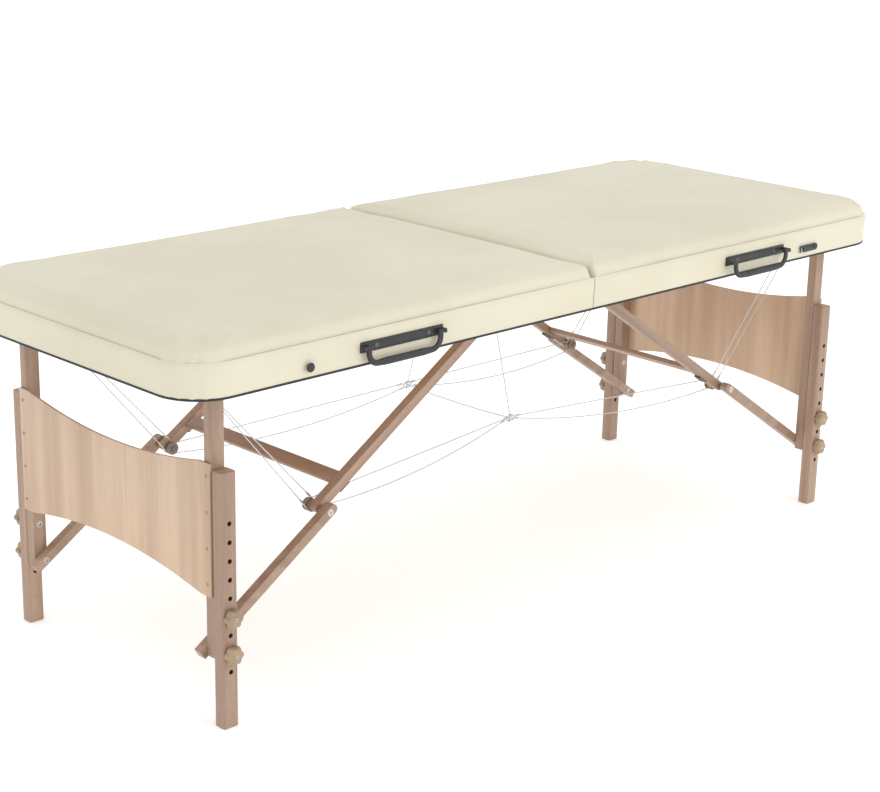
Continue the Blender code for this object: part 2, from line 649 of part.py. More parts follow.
def add_handle(end, axis_y, body):
    """A carrying bail that hangs from its two eyes."""
    half = HANDLE_SPAN / 2
    wide = half + HANDLE_BAR
    low = HANDLE_THICKNESS / 2 - HANDLE_DROP
    eye = HANDLE_THICKNESS / 2
    curve = HANDLE_INNER_BEND
    outer_curve = HANDLE_OUTER_BEND
    floor = low + HANDLE_BAR
    outline = [(-wide, eye)] + arc((outer_curve - wide, low + outer_curve), outer_curve, 180, 270)
    outline += arc((wide - outer_curve, low + outer_curve), outer_curve, 270, 360) + [(wide, eye)]
    outline += [(half, eye)] + arc((half - curve, floor + curve), curve, 0, -90)
    outline += arc((curve - half, floor + curve), curve, 270, 180) + [(-half, eye)]
    back = -(axis_y - HANDLE_THICKNESS / 2)
    name = f"handle_{ENDS[end]}"
    mesh = prisms(name, (outline, "Y", back - HANDLE_THICKNESS, back))
    handle = add(name, mesh, BLACK, (end * HANDLE_DISTANCE, 0, RAIL_BOTTOM + HANDLE_PIVOT_RISE), body)
    hole = circle((-axis_y, 0), HANDLE_PIN_RADIUS + ROD_CLEARANCE, SMALL_ROUND)
    past = wide + LUG_THICKNESS
    holes = [(hole, "X", sign * (half - eye), sign * past) for sign in (-1, 1)]
    combine(handle, prisms("eyes", *holes), "DIFFERENCE")


def add_latch(left, hook_body):
    """A headed stud on the left half, and the swinging hook on the right half that it holds."""
    z = RAIL_BOTTOM + LATCH_RISE
    rail_face = FRAME_SIDE + TOUCH_GAP
    hook_back = HALF_WIDTH + 2 * TOUCH_GAP
    hook_front = hook_back + LATCH_HOOK_THICKNESS
    head_back = hook_front + 2 * TOUCH_GAP
    head_front = head_back + 2 * LATCH_HOOK_THICKNESS
    profile = [(LATCH_NECK_RADIUS, -rail_face), (LATCH_NECK_RADIUS, -head_back)]
    profile += [(LATCH_HEAD_RADIUS, -head_back), (LATCH_HEAD_RADIUS, -head_front)]
    stud = add("latch_stud", lathe("latch_stud", profile), BLACK, (-LATCH_DISTANCE, 0, z), left)
    smooth(stud)

    length = 2 * (z - HINGE_Z)
    half = LATCH_HOOK_WIDTH / 2
    tip = length + half
    slot = LATCH_SLOT / 2
    outline = arc((0, 0), half, -90, 90)
    outline += [(-tip, half), (-tip, -half), (-length - slot, -half), (-length - slot, slot)]
    outline += [(-length + slot, slot), (-length + slot, -half)]
    mesh = prisms("latch_hook", (outline, "Y", -hook_back, -hook_front))
    hook = add("latch_hook", mesh, BLACK, (LATCH_DISTANCE, 0, z), hook_body)
    rivet = circle((0, 0), LATCH_RIVET_RADIUS)
    combine(hook, prisms("rivet", (rivet, "Y", -rail_face, -head_back)), "UNION")


def build_half(end, table):
    """One half of the table with everything that folds into it."""
    word = ENDS[end]
    half = pivot(f"{word}_half", (0, 0, HINGE_Z), table)
    add_top(end, half)
    add_rods(end, half)
    add_hinge_leaf(end, half)
    legs = pivot(f"legs_{word}", (end * LEG_DISTANCE, 0, PIVOT_Z), half)
    lower = pivot(f"lower_braces_{word}", (end * LEG_DISTANCE, 0, LOWER_STUD_Z), legs)
    upper = pivot(f"upper_braces_{word}", (end * BRACE_ROD_INSET, 0, PIVOT_Z), half)
    add_end_plate(end, legs)
    add_crossbar(end, upper)
    studs = (("upper", UPPER_STUD_Z, LEG_INSIDE), ("lower", LOWER_STUD_Z, LOWER_BRACE_INSIDE))
    for side in SIDES:
        add_upper_leg(end, side, legs)
        add_extension(end, side, legs)
        for level, stud_z, stud_end in studs:
            add_knob(end, side, level, stud_z, stud_end + TOUCH_GAP, legs)
        add_lower_brace(end, side, lower)
        add_upper_brace(end, side, upper)
        add_knee_spool(end, side, upper)
        add_side_cables(end, side, half)
    axis_y = LEFT_HANDLE_Y if end < 0 else RIGHT_HANDLE_Y
    add_handle_base(end, axis_y, half)
    swing = (end * HANDLE_DISTANCE, -axis_y, RAIL_BOTTOM + HANDLE_PIVOT_RISE)
    add_handle(end, axis_y, pivot(f"handle_{word}_pivot", swing, half))
    return half


for old in list(bpy.data.objects):
    bpy.data.objects.remove(old)

LEATHER = material("cover", (0.76, 0.72, 0.60), 0.50)
BEECH = material("beech", (0.62, 0.46, 0.37), 0.48)
PLYWOOD = material("plywood", (0.60, 0.45, 0.34), 0.52)
STEEL = material("steel", (0.62, 0.62, 0.60), 0.32, 1.0)
CABLE = material("cable", (0.66, 0.67, 0.68), 0.38, 1.0)
BLACK = material("black_plastic", (0.02, 0.02, 0.022), 0.42)

table = pivot("table", (0, 0, 0))
halves = {end: build_half(end, table) for end in ENDS}
pin_body = pivot("hinge_line", (0, 0, HINGE_Z), table)
pin_reach = HINGE_LENGTH / 2
pin_mesh = lathe("hinge_pin", [(HINGE_PIN_RADIUS, -pin_reach), (HINGE_PIN_RADIUS, pin_reach)], SMALL_ROUND)
smooth(add("hinge_pin", pin_mesh, STEEL, (0, 0, HINGE_Z), pin_body))
add_centre_cable(pin_body)
hook_place = (LATCH_DISTANCE, 0, RAIL_BOTTOM + LATCH_RISE)
add_latch(halves[-1], pivot("latch_pivot", hook_place, halves[1]))
table.location.y = TABLE_SHIFT
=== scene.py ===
"""Looks for the portable folding massage table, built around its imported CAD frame.

Metres, +Z up, the floor at Z = 0. The left half is at -X, and the near side is at -Y.
Positions come from the CAD boxes. `end` is -1 for left and +1 for right, and `side` is -1
for near and +1 for far.
"""

import math

import bmesh
import bpy
import numpy as np
from mathutils import Matrix, Vector


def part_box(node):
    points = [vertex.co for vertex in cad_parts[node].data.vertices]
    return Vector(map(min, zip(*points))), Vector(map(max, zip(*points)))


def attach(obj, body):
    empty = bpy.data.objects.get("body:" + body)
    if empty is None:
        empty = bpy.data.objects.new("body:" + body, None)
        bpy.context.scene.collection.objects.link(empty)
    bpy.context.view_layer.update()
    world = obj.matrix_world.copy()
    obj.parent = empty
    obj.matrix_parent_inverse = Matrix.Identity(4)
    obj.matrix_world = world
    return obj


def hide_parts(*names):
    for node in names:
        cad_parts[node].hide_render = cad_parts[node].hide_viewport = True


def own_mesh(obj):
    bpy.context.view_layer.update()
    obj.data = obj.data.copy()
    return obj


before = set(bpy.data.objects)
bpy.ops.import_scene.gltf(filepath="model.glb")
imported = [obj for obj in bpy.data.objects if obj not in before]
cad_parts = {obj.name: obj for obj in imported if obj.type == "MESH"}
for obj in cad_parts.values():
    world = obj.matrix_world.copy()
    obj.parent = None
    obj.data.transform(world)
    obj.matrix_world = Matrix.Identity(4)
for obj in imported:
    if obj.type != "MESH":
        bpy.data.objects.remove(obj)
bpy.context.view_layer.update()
scene = bpy.context.scene

ENDS = {-1: "left", 1: "right"}
SIDES = {-1: "near", 1: "far"}


def centre(node):
    """Middle of a CAD node's box."""
    low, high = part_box(node)
    return (low + high) / 2


def half_of(end):
    """The body of one half of the top."""
    return f"{ENDS[end]}_half"


def tail_of(end, side):
    """The end of the names of one leg's pieces."""
    return f"{ENDS[end]}_{SIDES[side]}"


# Faces and lines read from the CAD boxes
PAD_LOW, PAD_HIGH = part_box("cushion_left")
MIDDLE_Y = (PAD_LOW.y + PAD_HIGH.y) / 2
HALF_LENGTH = -PAD_LOW.x
HALF_WIDTH = (PAD_HIGH.y - PAD_LOW.y) / 2
HALVES_EDGE = -PAD_HIGH.x
FRAME_LOW, FRAME_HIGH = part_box("frame_left")
FRAME_END = -FRAME_LOW.x
FRAME_SIDE = (FRAME_HIGH.y - FRAME_LOW.y) / 2
RAIL_BOTTOM, RAIL_TOP = FRAME_LOW.z, FRAME_HIGH.z
LEG_X = abs(centre("upper_leg_left_near").x)
LEG_INSIDE = MIDDLE_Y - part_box("upper_leg_left_near")[1].y
BRACE_INSIDE = MIDDLE_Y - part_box("lower_brace_left_near")[1].y
BRACE_OUTSIDE = MIDDLE_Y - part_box("lower_brace_left_near")[0].y
UPPER_INSIDE = MIDDLE_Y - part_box("upper_brace_left_near")[1].y
UPPER_OUTSIDE = MIDDLE_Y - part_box("upper_brace_left_near")[0].y
TOUCH_GAP = 0.0003
SPOOL_OUTSIDE = UPPER_INSIDE - TOUCH_GAP
SPOOL_INSIDE = MIDDLE_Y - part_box("knee_spool_left_near")[1].y
UPPER_STUD_Z = centre("knob_upper_left_near").z
LOWER_STUD_Z = centre("knob_lower_left_near").z
KNEE = centre("knee_spool_right_near")
ROD = centre("brace_rod_right")
BRACE_ANGLE = math.atan2(ROD.z - KNEE.z, KNEE.x - ROD.x)
CORNER_RADIUS = 0.085
UP = Vector((0, 0, 1))


# ---- materials


def socket_value(socket, value):
    """Sets a socket, as a number, a colour or a link."""
    if isinstance(value, bpy.types.NodeSocket):
        socket.id_data.links.new(value, socket)
    elif isinstance(value, (tuple, list)) and len(value) == 3 and len(socket.default_value) == 4:
        socket.default_value = (*value, 1.0)
    else:
        socket.default_value = value


def node(tree, kind, inputs=None, **settings):
    """A shader node with its settings and inputs."""
    made = tree.nodes.new(f"ShaderNode{kind}")
    for name, value in settings.items():
        setattr(made, name, value)
    for name, value in (inputs or {}).items():
        socket_value(made.inputs[name], value)
    return made


def math_node(tree, operation, a, b=0.0, clamp=False):
    """Output of a Math node."""
    return node(tree, "Math", {0: a, 1: b}, operation=operation, use_clamp=clamp).outputs[0]


def scaled(tree, factor, gain, base):
    """Output of a factor times a gain plus a base."""
    made = math_node(tree, "MULTIPLY_ADD", factor, gain)
    made.node.inputs[2].default_value = base
    return made


def tinted(colour, gain):
    """A colour made darker or lighter."""
    return tuple(gain * c for c in colour)


def mix_colour(tree, factor, a, b, blend="MIX"):
    """Output of a colour Mix node."""
    made = node(tree, "Mix", data_type="RGBA", blend_type=blend)
    for index, value in ((0, factor), (6, a), (7, b)):
        socket_value(made.inputs[index], value)
    return made.outputs[2]


def ramp(tree, factor, low, high):
    """A factor stretched so that low gives 0 and high gives 1."""
    made = node(tree, "MapRange", {"Value": factor, "From Min": low, "From Max": high})
    made.interpolation_type = "SMOOTHSTEP"
    return made.outputs[0]


def noise_node(tree, vector, scale, detail=3.0, roughness=0.5, seed=0.0):
    """Output of a noise texture."""
    inputs = {"Vector": vector, "Scale": scale, "Detail": detail, "Roughness": roughness, "W": seed}
    return node(tree, "TexNoise", inputs, noise_dimensions="4D").outputs["Fac"]


def bump_node(tree, height, strength, distance, normal=None):
    """Output of a bump node."""
    inputs = {"Height": height, "Strength": strength, "Distance": distance}
    if normal is not None:
        inputs["Normal"] = normal
    return node(tree, "Bump", inputs).outputs[0]


def principled(name, **inputs):
    """A material and its tree, with constant inputs set on the shader itself."""
    made = bpy.data.materials.new(name)
    made.use_nodes = True
    shader = made.node_tree.nodes["Principled BSDF"]
    for key, value in inputs.items():
        socket_value(shader.inputs[key.replace("_", " ")], value)
    return made, made.node_tree, shader


def dress(shader, colour, rough, normal):
    """Links the colour, roughness and normal of a shader."""
    socket_value(shader.inputs["Base Color"], colour)
    socket_value(shader.inputs["Roughness"], rough)
    socket_value(shader.inputs["Normal"], normal)


def place_of(tree):
    """Object coordinates."""
    return node(tree, "TexCoord").outputs["Object"]


def grain_space(tree, along, stretch):
    """Object coordinates turned so that the grain runs along Z, and drawn out along it."""
    turn = Vector(along).normalized().rotation_difference(UP).to_euler()
    turned = node(tree, "Mapping", {"Vector": place_of(tree), "Rotation": tuple(turn)}).outputs[0]
    return turned, node(tree, "Mapping", {"Vector": turned, "Scale": (1, 1, stretch)}).outputs[0]


def wood(name, along, pale, deep, figure=1.0, fleck=1.0, gloss=0.42):
    """Lacquered solid wood: soft bands, fine fibres, short dark rays and a faint texture."""
    made, tree, shader = principled(name, Coat_Weight=0.18, Coat_Roughness=0.28)
    turned, drawn = grain_space(tree, along, 0.045)
    random = node(tree, "ObjectInfo").outputs["Random"]
    seed = math_node(tree, "MULTIPLY", random, 37.0)
    bands = noise_node(tree, drawn, 55.0, 2.0, 0.55, seed)
    fibres = noise_node(tree, drawn, 900.0, 3.0, 0.6, seed)
    short = node(tree, "Mapping", {"Vector": turned, "Scale": (1, 1, 0.16)}).outputs[0]
    rays = noise_node(tree, short, 950.0, 1.0, 0.4, seed)
    rays = ramp(tree, rays, 0.60, 0.72)
    colour = mix_colour(tree, math_node(tree, "MULTIPLY", ramp(tree, bands, 0.30, 0.72), figure), pale, deep)
    colour = mix_colour(tree, 1.0, colour, scaled(tree, fibres, 0.30, 0.85), "MULTIPLY")
    colour = mix_colour(tree, math_node(tree, "MULTIPLY", rays, 0.55 * fleck), colour, tinted(deep, 0.62))
    colour = mix_colour(tree, 1.0, colour, scaled(tree, random, 0.12, 0.94), "MULTIPLY")
    height = math_node(tree, "SUBTRACT", fibres, math_node(tree, "MULTIPLY", rays, 0.6))
    dress(shader, colour, scaled(tree, fibres, 0.16, gloss - 0.05), bump_node(tree, height, 0.35, 0.00012))
    return made


def veneer(name, pale, deep):
    """Plywood panel: upright veneer with soft bands on its faces and thin plies on its edges."""
    made, tree, shader = principled(name, Coat_Weight=0.25, Coat_Roughness=0.22)
    drawn = grain_space(tree, (0, 0, 1), 0.05)[1]
    bands = noise_node(tree, drawn, 26.0, 2.0, 0.5, 3.1)
    lines = noise_node(tree, drawn, 130.0, 2.0, 0.6, 7.7)
    fibres = noise_node(tree, drawn, 1100.0, 2.0, 0.6, 1.3)
    colour = mix_colour(tree, ramp(tree, bands, 0.30, 0.70), pale, deep)
    streak = math_node(tree, "MULTIPLY", ramp(tree, lines, 0.52, 0.78), 0.45)
    colour = mix_colour(tree, streak, colour, tinted(deep, 0.80))
    colour = mix_colour(tree, 1.0, colour, scaled(tree, fibres, 0.26, 0.87), "MULTIPLY")
    normal = node(tree, "SeparateXYZ", {0: node(tree, "TexCoord").outputs["Normal"]}).outputs[0]
    edge = ramp(tree, math_node(tree, "ABSOLUTE", normal), 0.6, 0.4)
    depth = node(tree, "SeparateXYZ", {0: place_of(tree)}).outputs[0]
    plies = math_node(tree, "SINE", math_node(tree, "MULTIPLY", depth, 2 * math.pi / 0.0018))
    plies = ramp(tree, plies, -0.4, 0.4)
    edge_colour = mix_colour(tree, plies, tinted(deep, 0.62), tinted(pale, 0.95))
    colour = mix_colour(tree, edge, colour, edge_colour)
    dress(shader, colour, scaled(tree, fibres, 0.14, 0.36), bump_node(tree, fibres, 0.25, 0.0001))
    return made


def leather(name, colour):
    """Coated upholstery fabric: a fine pebbled grain with painted shade in its valleys, faint clouding and
    soft creases.
    """
    made, tree, shader = principled(name, Sheen_Weight=0.06, Sheen_Roughness=0.5, Specular_IOR_Level=0.42)
    place = place_of(tree)
    warp = noise_node(tree, place, 260.0, 2.0, 0.5, 0.4)
    bent = node(tree, "VectorMath", {0: place}, operation="ADD")
    lift = node(tree, "VectorMath", {0: node(tree, "CombineXYZ", {0: warp, 1: warp, 2: warp}).outputs[0]})
    lift.operation = "SCALE"
    lift.inputs["Scale"].default_value = 0.0012
    socket_value(bent.inputs[1], lift.outputs[0])
    cells = node(tree, "TexVoronoi", {"Vector": bent.outputs[0], "Scale": 620.0}, feature="F1")
    pebbles = ramp(tree, cells.outputs["Distance"], 0.75, 0.15)
    clouds = noise_node(tree, place, 3.2, 3.0, 0.55, 5.0)
    mottle = noise_node(tree, place, 90.0, 3.0, 0.6, 9.0)
    deep = tuple(c * k for c, k in zip(colour, (0.93, 0.925, 0.90)))
    shade = mix_colour(tree, ramp(tree, clouds, 0.35, 0.68), deep, colour)
    # The valleys between the pebbles are darkened in colour: painted shade.
    valley_shade = math_node(tree, "MULTIPLY", math_node(tree, "SUBTRACT", 1.0, pebbles), 0.10)
    shade = mix_colour(tree, valley_shade, shade, tinted(colour, 0.72))
    shade = mix_colour(tree, math_node(tree, "MULTIPLY", ramp(tree, mottle, 0.5, 0.8), 0.05), shade, deep)
    fine = bump_node(tree, pebbles, 0.30, 0.0003)
    soft = noise_node(tree, place, 34.0, 2.0, 0.5, 2.0)
    dress(shader, shade, scaled(tree, mottle, 0.16, 0.42), bump_node(tree, soft, 0.10, 0.003, fine))
    return made


def steel(name, colour, rough_low, rough_high):
    """Zinc-plated steel with a faint spangle and uneven gloss."""
    made, tree, shader = principled(name, Metallic=1.0)
    place = place_of(tree)
    spangle = noise_node(tree, place, 420.0, 2.0, 0.5, 1.0)
    shade = mix_colour(tree, spangle, tinted(colour, 0.82), colour)
    patches = noise_node(tree, place, 120.0, 3.0, 0.6, 4.0)
    span = node(tree, "MapRange", {"Value": patches, "To Min": rough_low, "To Max": rough_high})
    dress(shader, shade, span.outputs[0], bump_node(tree, patches, 0.12, 0.0001))
    return made


def wire_rope(name, colour):
    """Fine twisted wire rope under a clear skin, with painted shade in its grooves; U runs round it and V
    along it in metres.
    """
    made, tree, shader = principled(name, Metallic=0.75, Coat_Weight=0.4, Coat_Roughness=0.2)
    place = node(tree, "SeparateXYZ", {0: node(tree, "TexCoord").outputs["UV"]})
    along = math_node(tree, "MULTIPLY", place.outputs[1], 2 * math.pi / 0.006)
    around = math_node(tree, "MULTIPLY", place.outputs[0], 2 * math.pi * 6)
    twist = math_node(tree, "SINE", math_node(tree, "ADD", along, around))
    grooves_and_shade = ramp(tree, twist, -0.9, 0.3)
    # The grooves between the wires are darkened in colour: painted shade.
    shade = mix_colour(tree, grooves_and_shade, tinted(colour, 0.5), colour)
    dress(shader, shade, scaled(tree, grooves_and_shade, -0.12, 0.42), bump_node(tree, grooves_and_shade, 0.5, 0.0002))
    return made


def moulded(name, colour, gloss):
    """Moulded plastic with a fine spark-eroded texture and slightly rubbed high spots."""
    made, tree, shader = principled(name, Specular_IOR_Level=0.5)
    place = place_of(tree)
    stipple = noise_node(tree, place, 1500.0, 2.0, 0.6, 0.0)
    rubbed = noise_node(tree, place, 60.0, 4.0, 0.65, 6.0)
    shade = mix_colour(tree, ramp(tree, rubbed, 0.45, 0.8), colour, tuple(c * 1.9 + 0.006 for c in colour))
    dress(shader, shade, scaled(tree, rubbed, 0.2, gloss - 0.1), bump_node(tree, stipple, 0.4, 0.0002))
    return made


BEECH_PALE = (0.405, 0.275, 0.196)
BEECH_DEEP = (0.305, 0.195, 0.134)
KNOB_PALE = (0.400, 0.285, 0.182)
KNOB_DEEP = (0.300, 0.205, 0.124)
PLATE_PALE = (0.640, 0.465, 0.318)
PLATE_DEEP = (0.500, 0.338, 0.222)
# Spools and spacers: beech darker than the legs, partly for its end grain and partly as painted shade between
# the braces.
SPOOL_SHADED_PALE = (0.270, 0.180, 0.130)
SPOOL_SHADED_DEEP = (0.200, 0.128, 0.090)

COVER = leather("cover_cream", (0.715, 0.675, 0.530))
UPRIGHT = wood("beech_upright", (0, 0, 1), BEECH_PALE, BEECH_DEEP)
ALONG = wood("beech_along", (1, 0, 0), BEECH_PALE, BEECH_DEEP)
ACROSS = wood("beech_across", (0, 1, 0), BEECH_PALE, BEECH_DEEP)
SLOPE = {
    end: wood(
        f"beech_slope_{ENDS[end]}",
        (end * math.cos(BRACE_ANGLE), 0, -math.sin(BRACE_ANGLE)),
        BEECH_PALE,
        BEECH_DEEP,
    )
    for end in ENDS
}
KNOB_WOOD = wood("beech_turned", (0, 1, 0), KNOB_PALE, KNOB_DEEP, 0.8, 0.7, 0.38)
PANEL = veneer("veneer_panel", PLATE_PALE, PLATE_DEEP)
DECK = wood("veneer_deck", (0, 1, 0), PLATE_PALE, PLATE_DEEP, 0.7, 0.4, 0.55)
# Hole walls and rims: beech darkened far below the legs as painted shade inside the holes.
BORE_SHADE = wood("beech_bore_shade", (0, 1, 0), (0.075, 0.045, 0.030), (0.050, 0.030, 0.020), 1.0, 1.0, 0.7)
SPOOL_SHADED_WOOD = wood("beech_spool_shaded", (0, 1, 0), SPOOL_SHADED_PALE, SPOOL_SHADED_DEEP)
BRASS = steel("brass_plate", (0.42, 0.31, 0.17), 0.35, 0.55)
RUBBER = moulded("grey_rubber", (0.110, 0.105, 0.092), 0.70)
ZINC = steel("zinc_steel", (0.62, 0.62, 0.60), 0.24, 0.42)
DARK_STEEL = steel("dark_steel", (0.17, 0.17, 0.18), 0.30, 0.48)
ROPE = wire_rope("wire_rope", (0.74, 0.75, 0.76))
BLACK = moulded("black_moulded", (0.018, 0.018, 0.020), 0.45)
BINDING = moulded("black_binding", (0.016, 0.016, 0.018), 0.62)


# ---- mesh tools


def piece_from(work, name, finish, smooth=True):
    """An object from a bmesh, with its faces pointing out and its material."""
    bmesh.ops.recalc_face_normals(work, faces=work.faces[:])
    mesh = bpy.data.meshes.new(name)
    work.to_mesh(mesh)
    work.free()
    finishes = finish if isinstance(finish, (list, tuple)) else [finish]
    for item in finishes:
        mesh.materials.append(item)
    piece = bpy.data.objects.new(name, mesh)
    scene.collection.objects.link(piece)
    if smooth:
        mesh.shade_smooth()
        mesh.set_sharp_from_angle(angle=math.radians(38))
    return piece


def arc(middle, radius, start, end, steps):
    """Points on an arc, both ends included, with its angles in degrees."""
    angles = [math.radians(start + (end - start) * i / steps) for i in range(steps + 1)]
    return [(middle[0] + radius * math.cos(a), middle[1] + radius * math.sin(a)) for a in angles]


def half_plan(end, inside, outside, half_width, radius, steps=12):
    """Plan of one half of the top, from its near inner corner round to its far one."""
    turn = outside - radius
    points = [(inside, -half_width)]
    points += arc((turn, radius - half_width), radius, -90, 0, steps)
    points += arc((turn, half_width - radius), radius, 0, 90, steps)
    points += [(inside, half_width)]
    return [(end * x, MIDDLE_Y + y) for x, y in points]


def angles_of(count):
    """Even angles round a full turn."""
    return [2 * math.pi * i / count for i in range(count)]


def skin(work, rings):
    """Joins rings of points into a closed skin with flat ends."""
    count = len(rings[0])
    for a, b in zip(rings, rings[1:]):
        for k in range(count):
            after = (k + 1) % count
            work.faces.new((a[k], a[after], b[after], b[k]))
    work.faces.new(rings[0][::-1])
    work.faces.new(rings[-1])


def lathe_into(work, profile, place, axis, count=24):
    """Adds a turned solid: the profile lists radius and distance along the axis."""
    axis = Vector(axis).normalized()
    u = axis.orthogonal().normalized()
    v = axis.cross(u)
    rings = []
    for radius, along in profile:
        ring = []
        for a in angles_of(count):
            point = Vector(place) + axis * along + (u * math.cos(a) + v * math.sin(a)) * radius
            ring.append(work.verts.new(point))
        rings.append(ring)
    skin(work, rings)


def box_into(work, low, high, edge=0.0):
    """Adds a block with its edges rounded."""
    made = bmesh.ops.create_cube(work, size=1.0)["verts"]
    low, high = Vector(low), Vector(high)
    size = high - low
    bmesh.ops.scale(work, verts=made, vec=size)
    bmesh.ops.translate(work, verts=made, vec=(low + high) / 2)
    if edge:
        edges = {e for v in made for e in v.link_edges}
        bmesh.ops.bevel(work, geom=list(edges), offset=edge, segments=2, affect="EDGES", profile=0.5)


def smooth_line(points, spacing):
    """Points at even distances on a Catmull-Rom curve through the given points."""
    points = [Vector(p) for p in points]
    padded = [2 * points[0] - points[1], *points, 2 * points[-1] - points[-2]]
    dense = []
    for a, b, c, d in zip(padded, padded[1:], padded[2:], padded[3:]):
        count = max(2, int((c - b).length / spacing))
        for i in range(count):
            t = i / count
            curve = (c - a) * t + (2 * a - 5 * b + 4 * c - d) * t**2 + (3 * b - a - 3 * c + d) * t**3
            dense.append(0.5 * (2 * b + curve))
    return dense + [points[-1]]


def tube_into(work, points, radius, sides=8, swells=(), closed=False):
    """Adds a round tube with UVs in metres; swells lists start, stop, radius along its length."""
    uv = work.loops.layers.uv.verify()
    points = [Vector(p) for p in points]
    lengths = [0.0]
    for a, b in zip(points, points[1:]):
        lengths.append(lengths[-1] + (b - a).length)
    count = len(points)
    rings, up = [], None
    for i, point in enumerate(points):
        if closed:
            before, after = points[i - 1], points[(i + 1) % count]
        else:
            before, after = points[max(i - 1, 0)], points[min(i + 1, count - 1)]
        ahead = (after - before).normalized()
        if up is None:
            up = ahead.orthogonal().normalized()
        up = (up - ahead * up.dot(ahead)).normalized()
        across = ahead.cross(up)
        thick = radius
        for start, stop, swollen in swells:
            if start <= lengths[i] <= stop:
                thick = swollen
        ring = []
        for a in angles_of(sides):
            ring.append(work.verts.new(point + (up * math.cos(a) + across * math.sin(a)) * thick))
        rings.append(ring)
    pairs = list(zip(range(count), range(1, count))) + ([(count - 1, 0)] if closed else [])
    for i, j in pairs:
        middle = (lengths[i] + lengths[j]) / 2
        swollen = any(start <= middle <= stop for start, stop, _ in swells)
        for k in range(sides):
            after = (k + 1) % sides
            face = work.faces.new((rings[i][k], rings[i][after], rings[j][after], rings[j][k]))
            face.material_index = 1 if swollen else 0
            corners = ((k, i), (k + 1, i), (k + 1, j), (k, j))
            for loop, (around, along) in zip(face.loops, corners):
                loop[uv].uv = (around / sides, lengths[along])
    if not closed:
        work.faces.new(rings[0][::-1])
        work.faces.new(rings[-1])


# ---- padded top


def inflate(piece, pressure, frames, cap, held_below):
    """Swells a closed mesh as pressed cloth with its base held, and limits every movement."""
    rest = np.array([v.co for v in piece.data.vertices])
    held = piece.vertex_groups.new(name="held")
    held.add([int(i) for i in np.nonzero(rest[:, 2] < held_below)[0]], 1.0, "REPLACE")
    step = piece.modifiers.new("swell", "CLOTH")
    settings = step.settings
    settings.quality = 4
    settings.mass = 0.35
    settings.tension_stiffness = 18
    settings.compression_stiffness = 18
    settings.shear_stiffness = 8
    settings.bending_stiffness = 1.5
    settings.use_pressure = True
    settings.uniform_pressure_force = pressure
    settings.effector_weights.gravity = 0
    settings.vertex_group_mass = "held"
    step.collision_settings.use_collision = False
    for number in range(1, frames + 1):
        scene.frame_set(number)
    seen = piece.evaluated_get(bpy.context.evaluated_depsgraph_get())
    swollen = np.array([v.co for v in seen.data.vertices])
    piece.modifiers.remove(step)
    piece.vertex_groups.clear()
    scene.frame_set(1)
    move = swollen - rest
    far = np.linalg.norm(move, axis=1, keepdims=True)
    move *= cap * np.tanh(far / cap) / np.maximum(far, 1e-9)
    piece.data.vertices.foreach_set("co", (rest + move).astype(np.float32).ravel())
    piece.data.update()


def apply_modifiers(piece):
    """Replaces a piece's mesh with what its modifiers give."""
    seen = piece.evaluated_get(bpy.context.evaluated_depsgraph_get())
    mesh = bpy.data.meshes.new_from_object(seen)
    piece.modifiers.clear()
    piece.data = mesh


PAD_SHRINK = 0.0045
PAD_CAP = 0.0065
PAD_VOXEL = 0.007
PAD_REACH = 0.014
PAD_PRESSURE = 4.0
PAD_FRAMES = 18
PAD_HELD = 0.004
TOP_LIMIT = PAD_HIGH.z + 0.0035


def pad_shape(end):
    """The foam pad of one half in its cover, swollen by cloth pressure, as a mesh."""
    low, high = PAD_LOW.z, PAD_HIGH.z - PAD_SHRINK
    side = HALF_WIDTH - PAD_SHRINK
    plan = half_plan(-1, HALVES_EDGE, HALF_LENGTH - PAD_SHRINK, side, CORNER_RADIUS - PAD_SHRINK)
    work = bmesh.new()
    corners = [work.verts.new((x, y, low)) for x, y in plan]
    face = work.faces.new(corners)
    grown = bmesh.ops.extrude_face_region(work, geom=[face])
    top = [v for v in grown["geom"] if isinstance(v, bmesh.types.BMVert)]
    bmesh.ops.translate(work, verts=top, vec=(0, 0, high - low))
    top_edges = [e for e in work.edges if all(v.co.z > high - 1e-6 for v in e.verts)]
    bmesh.ops.bevel(work, geom=top_edges, offset=0.010, segments=4, affect="EDGES", profile=0.5)
    pad = piece_from(work, f"pad_{ENDS[end]}", COVER, smooth=False)
    remesh = pad.modifiers.new("voxels", "REMESH")
    remesh.mode = "VOXEL"
    remesh.voxel_size = PAD_VOXEL
    apply_modifiers(pad)
    inflate(pad, PAD_PRESSURE, PAD_FRAMES, PAD_CAP, low + PAD_HELD)
    step = pad.modifiers.new("finer", "SUBSURF")
    step.levels = step.render_levels = 1
    apply_modifiers(pad)
    return pad


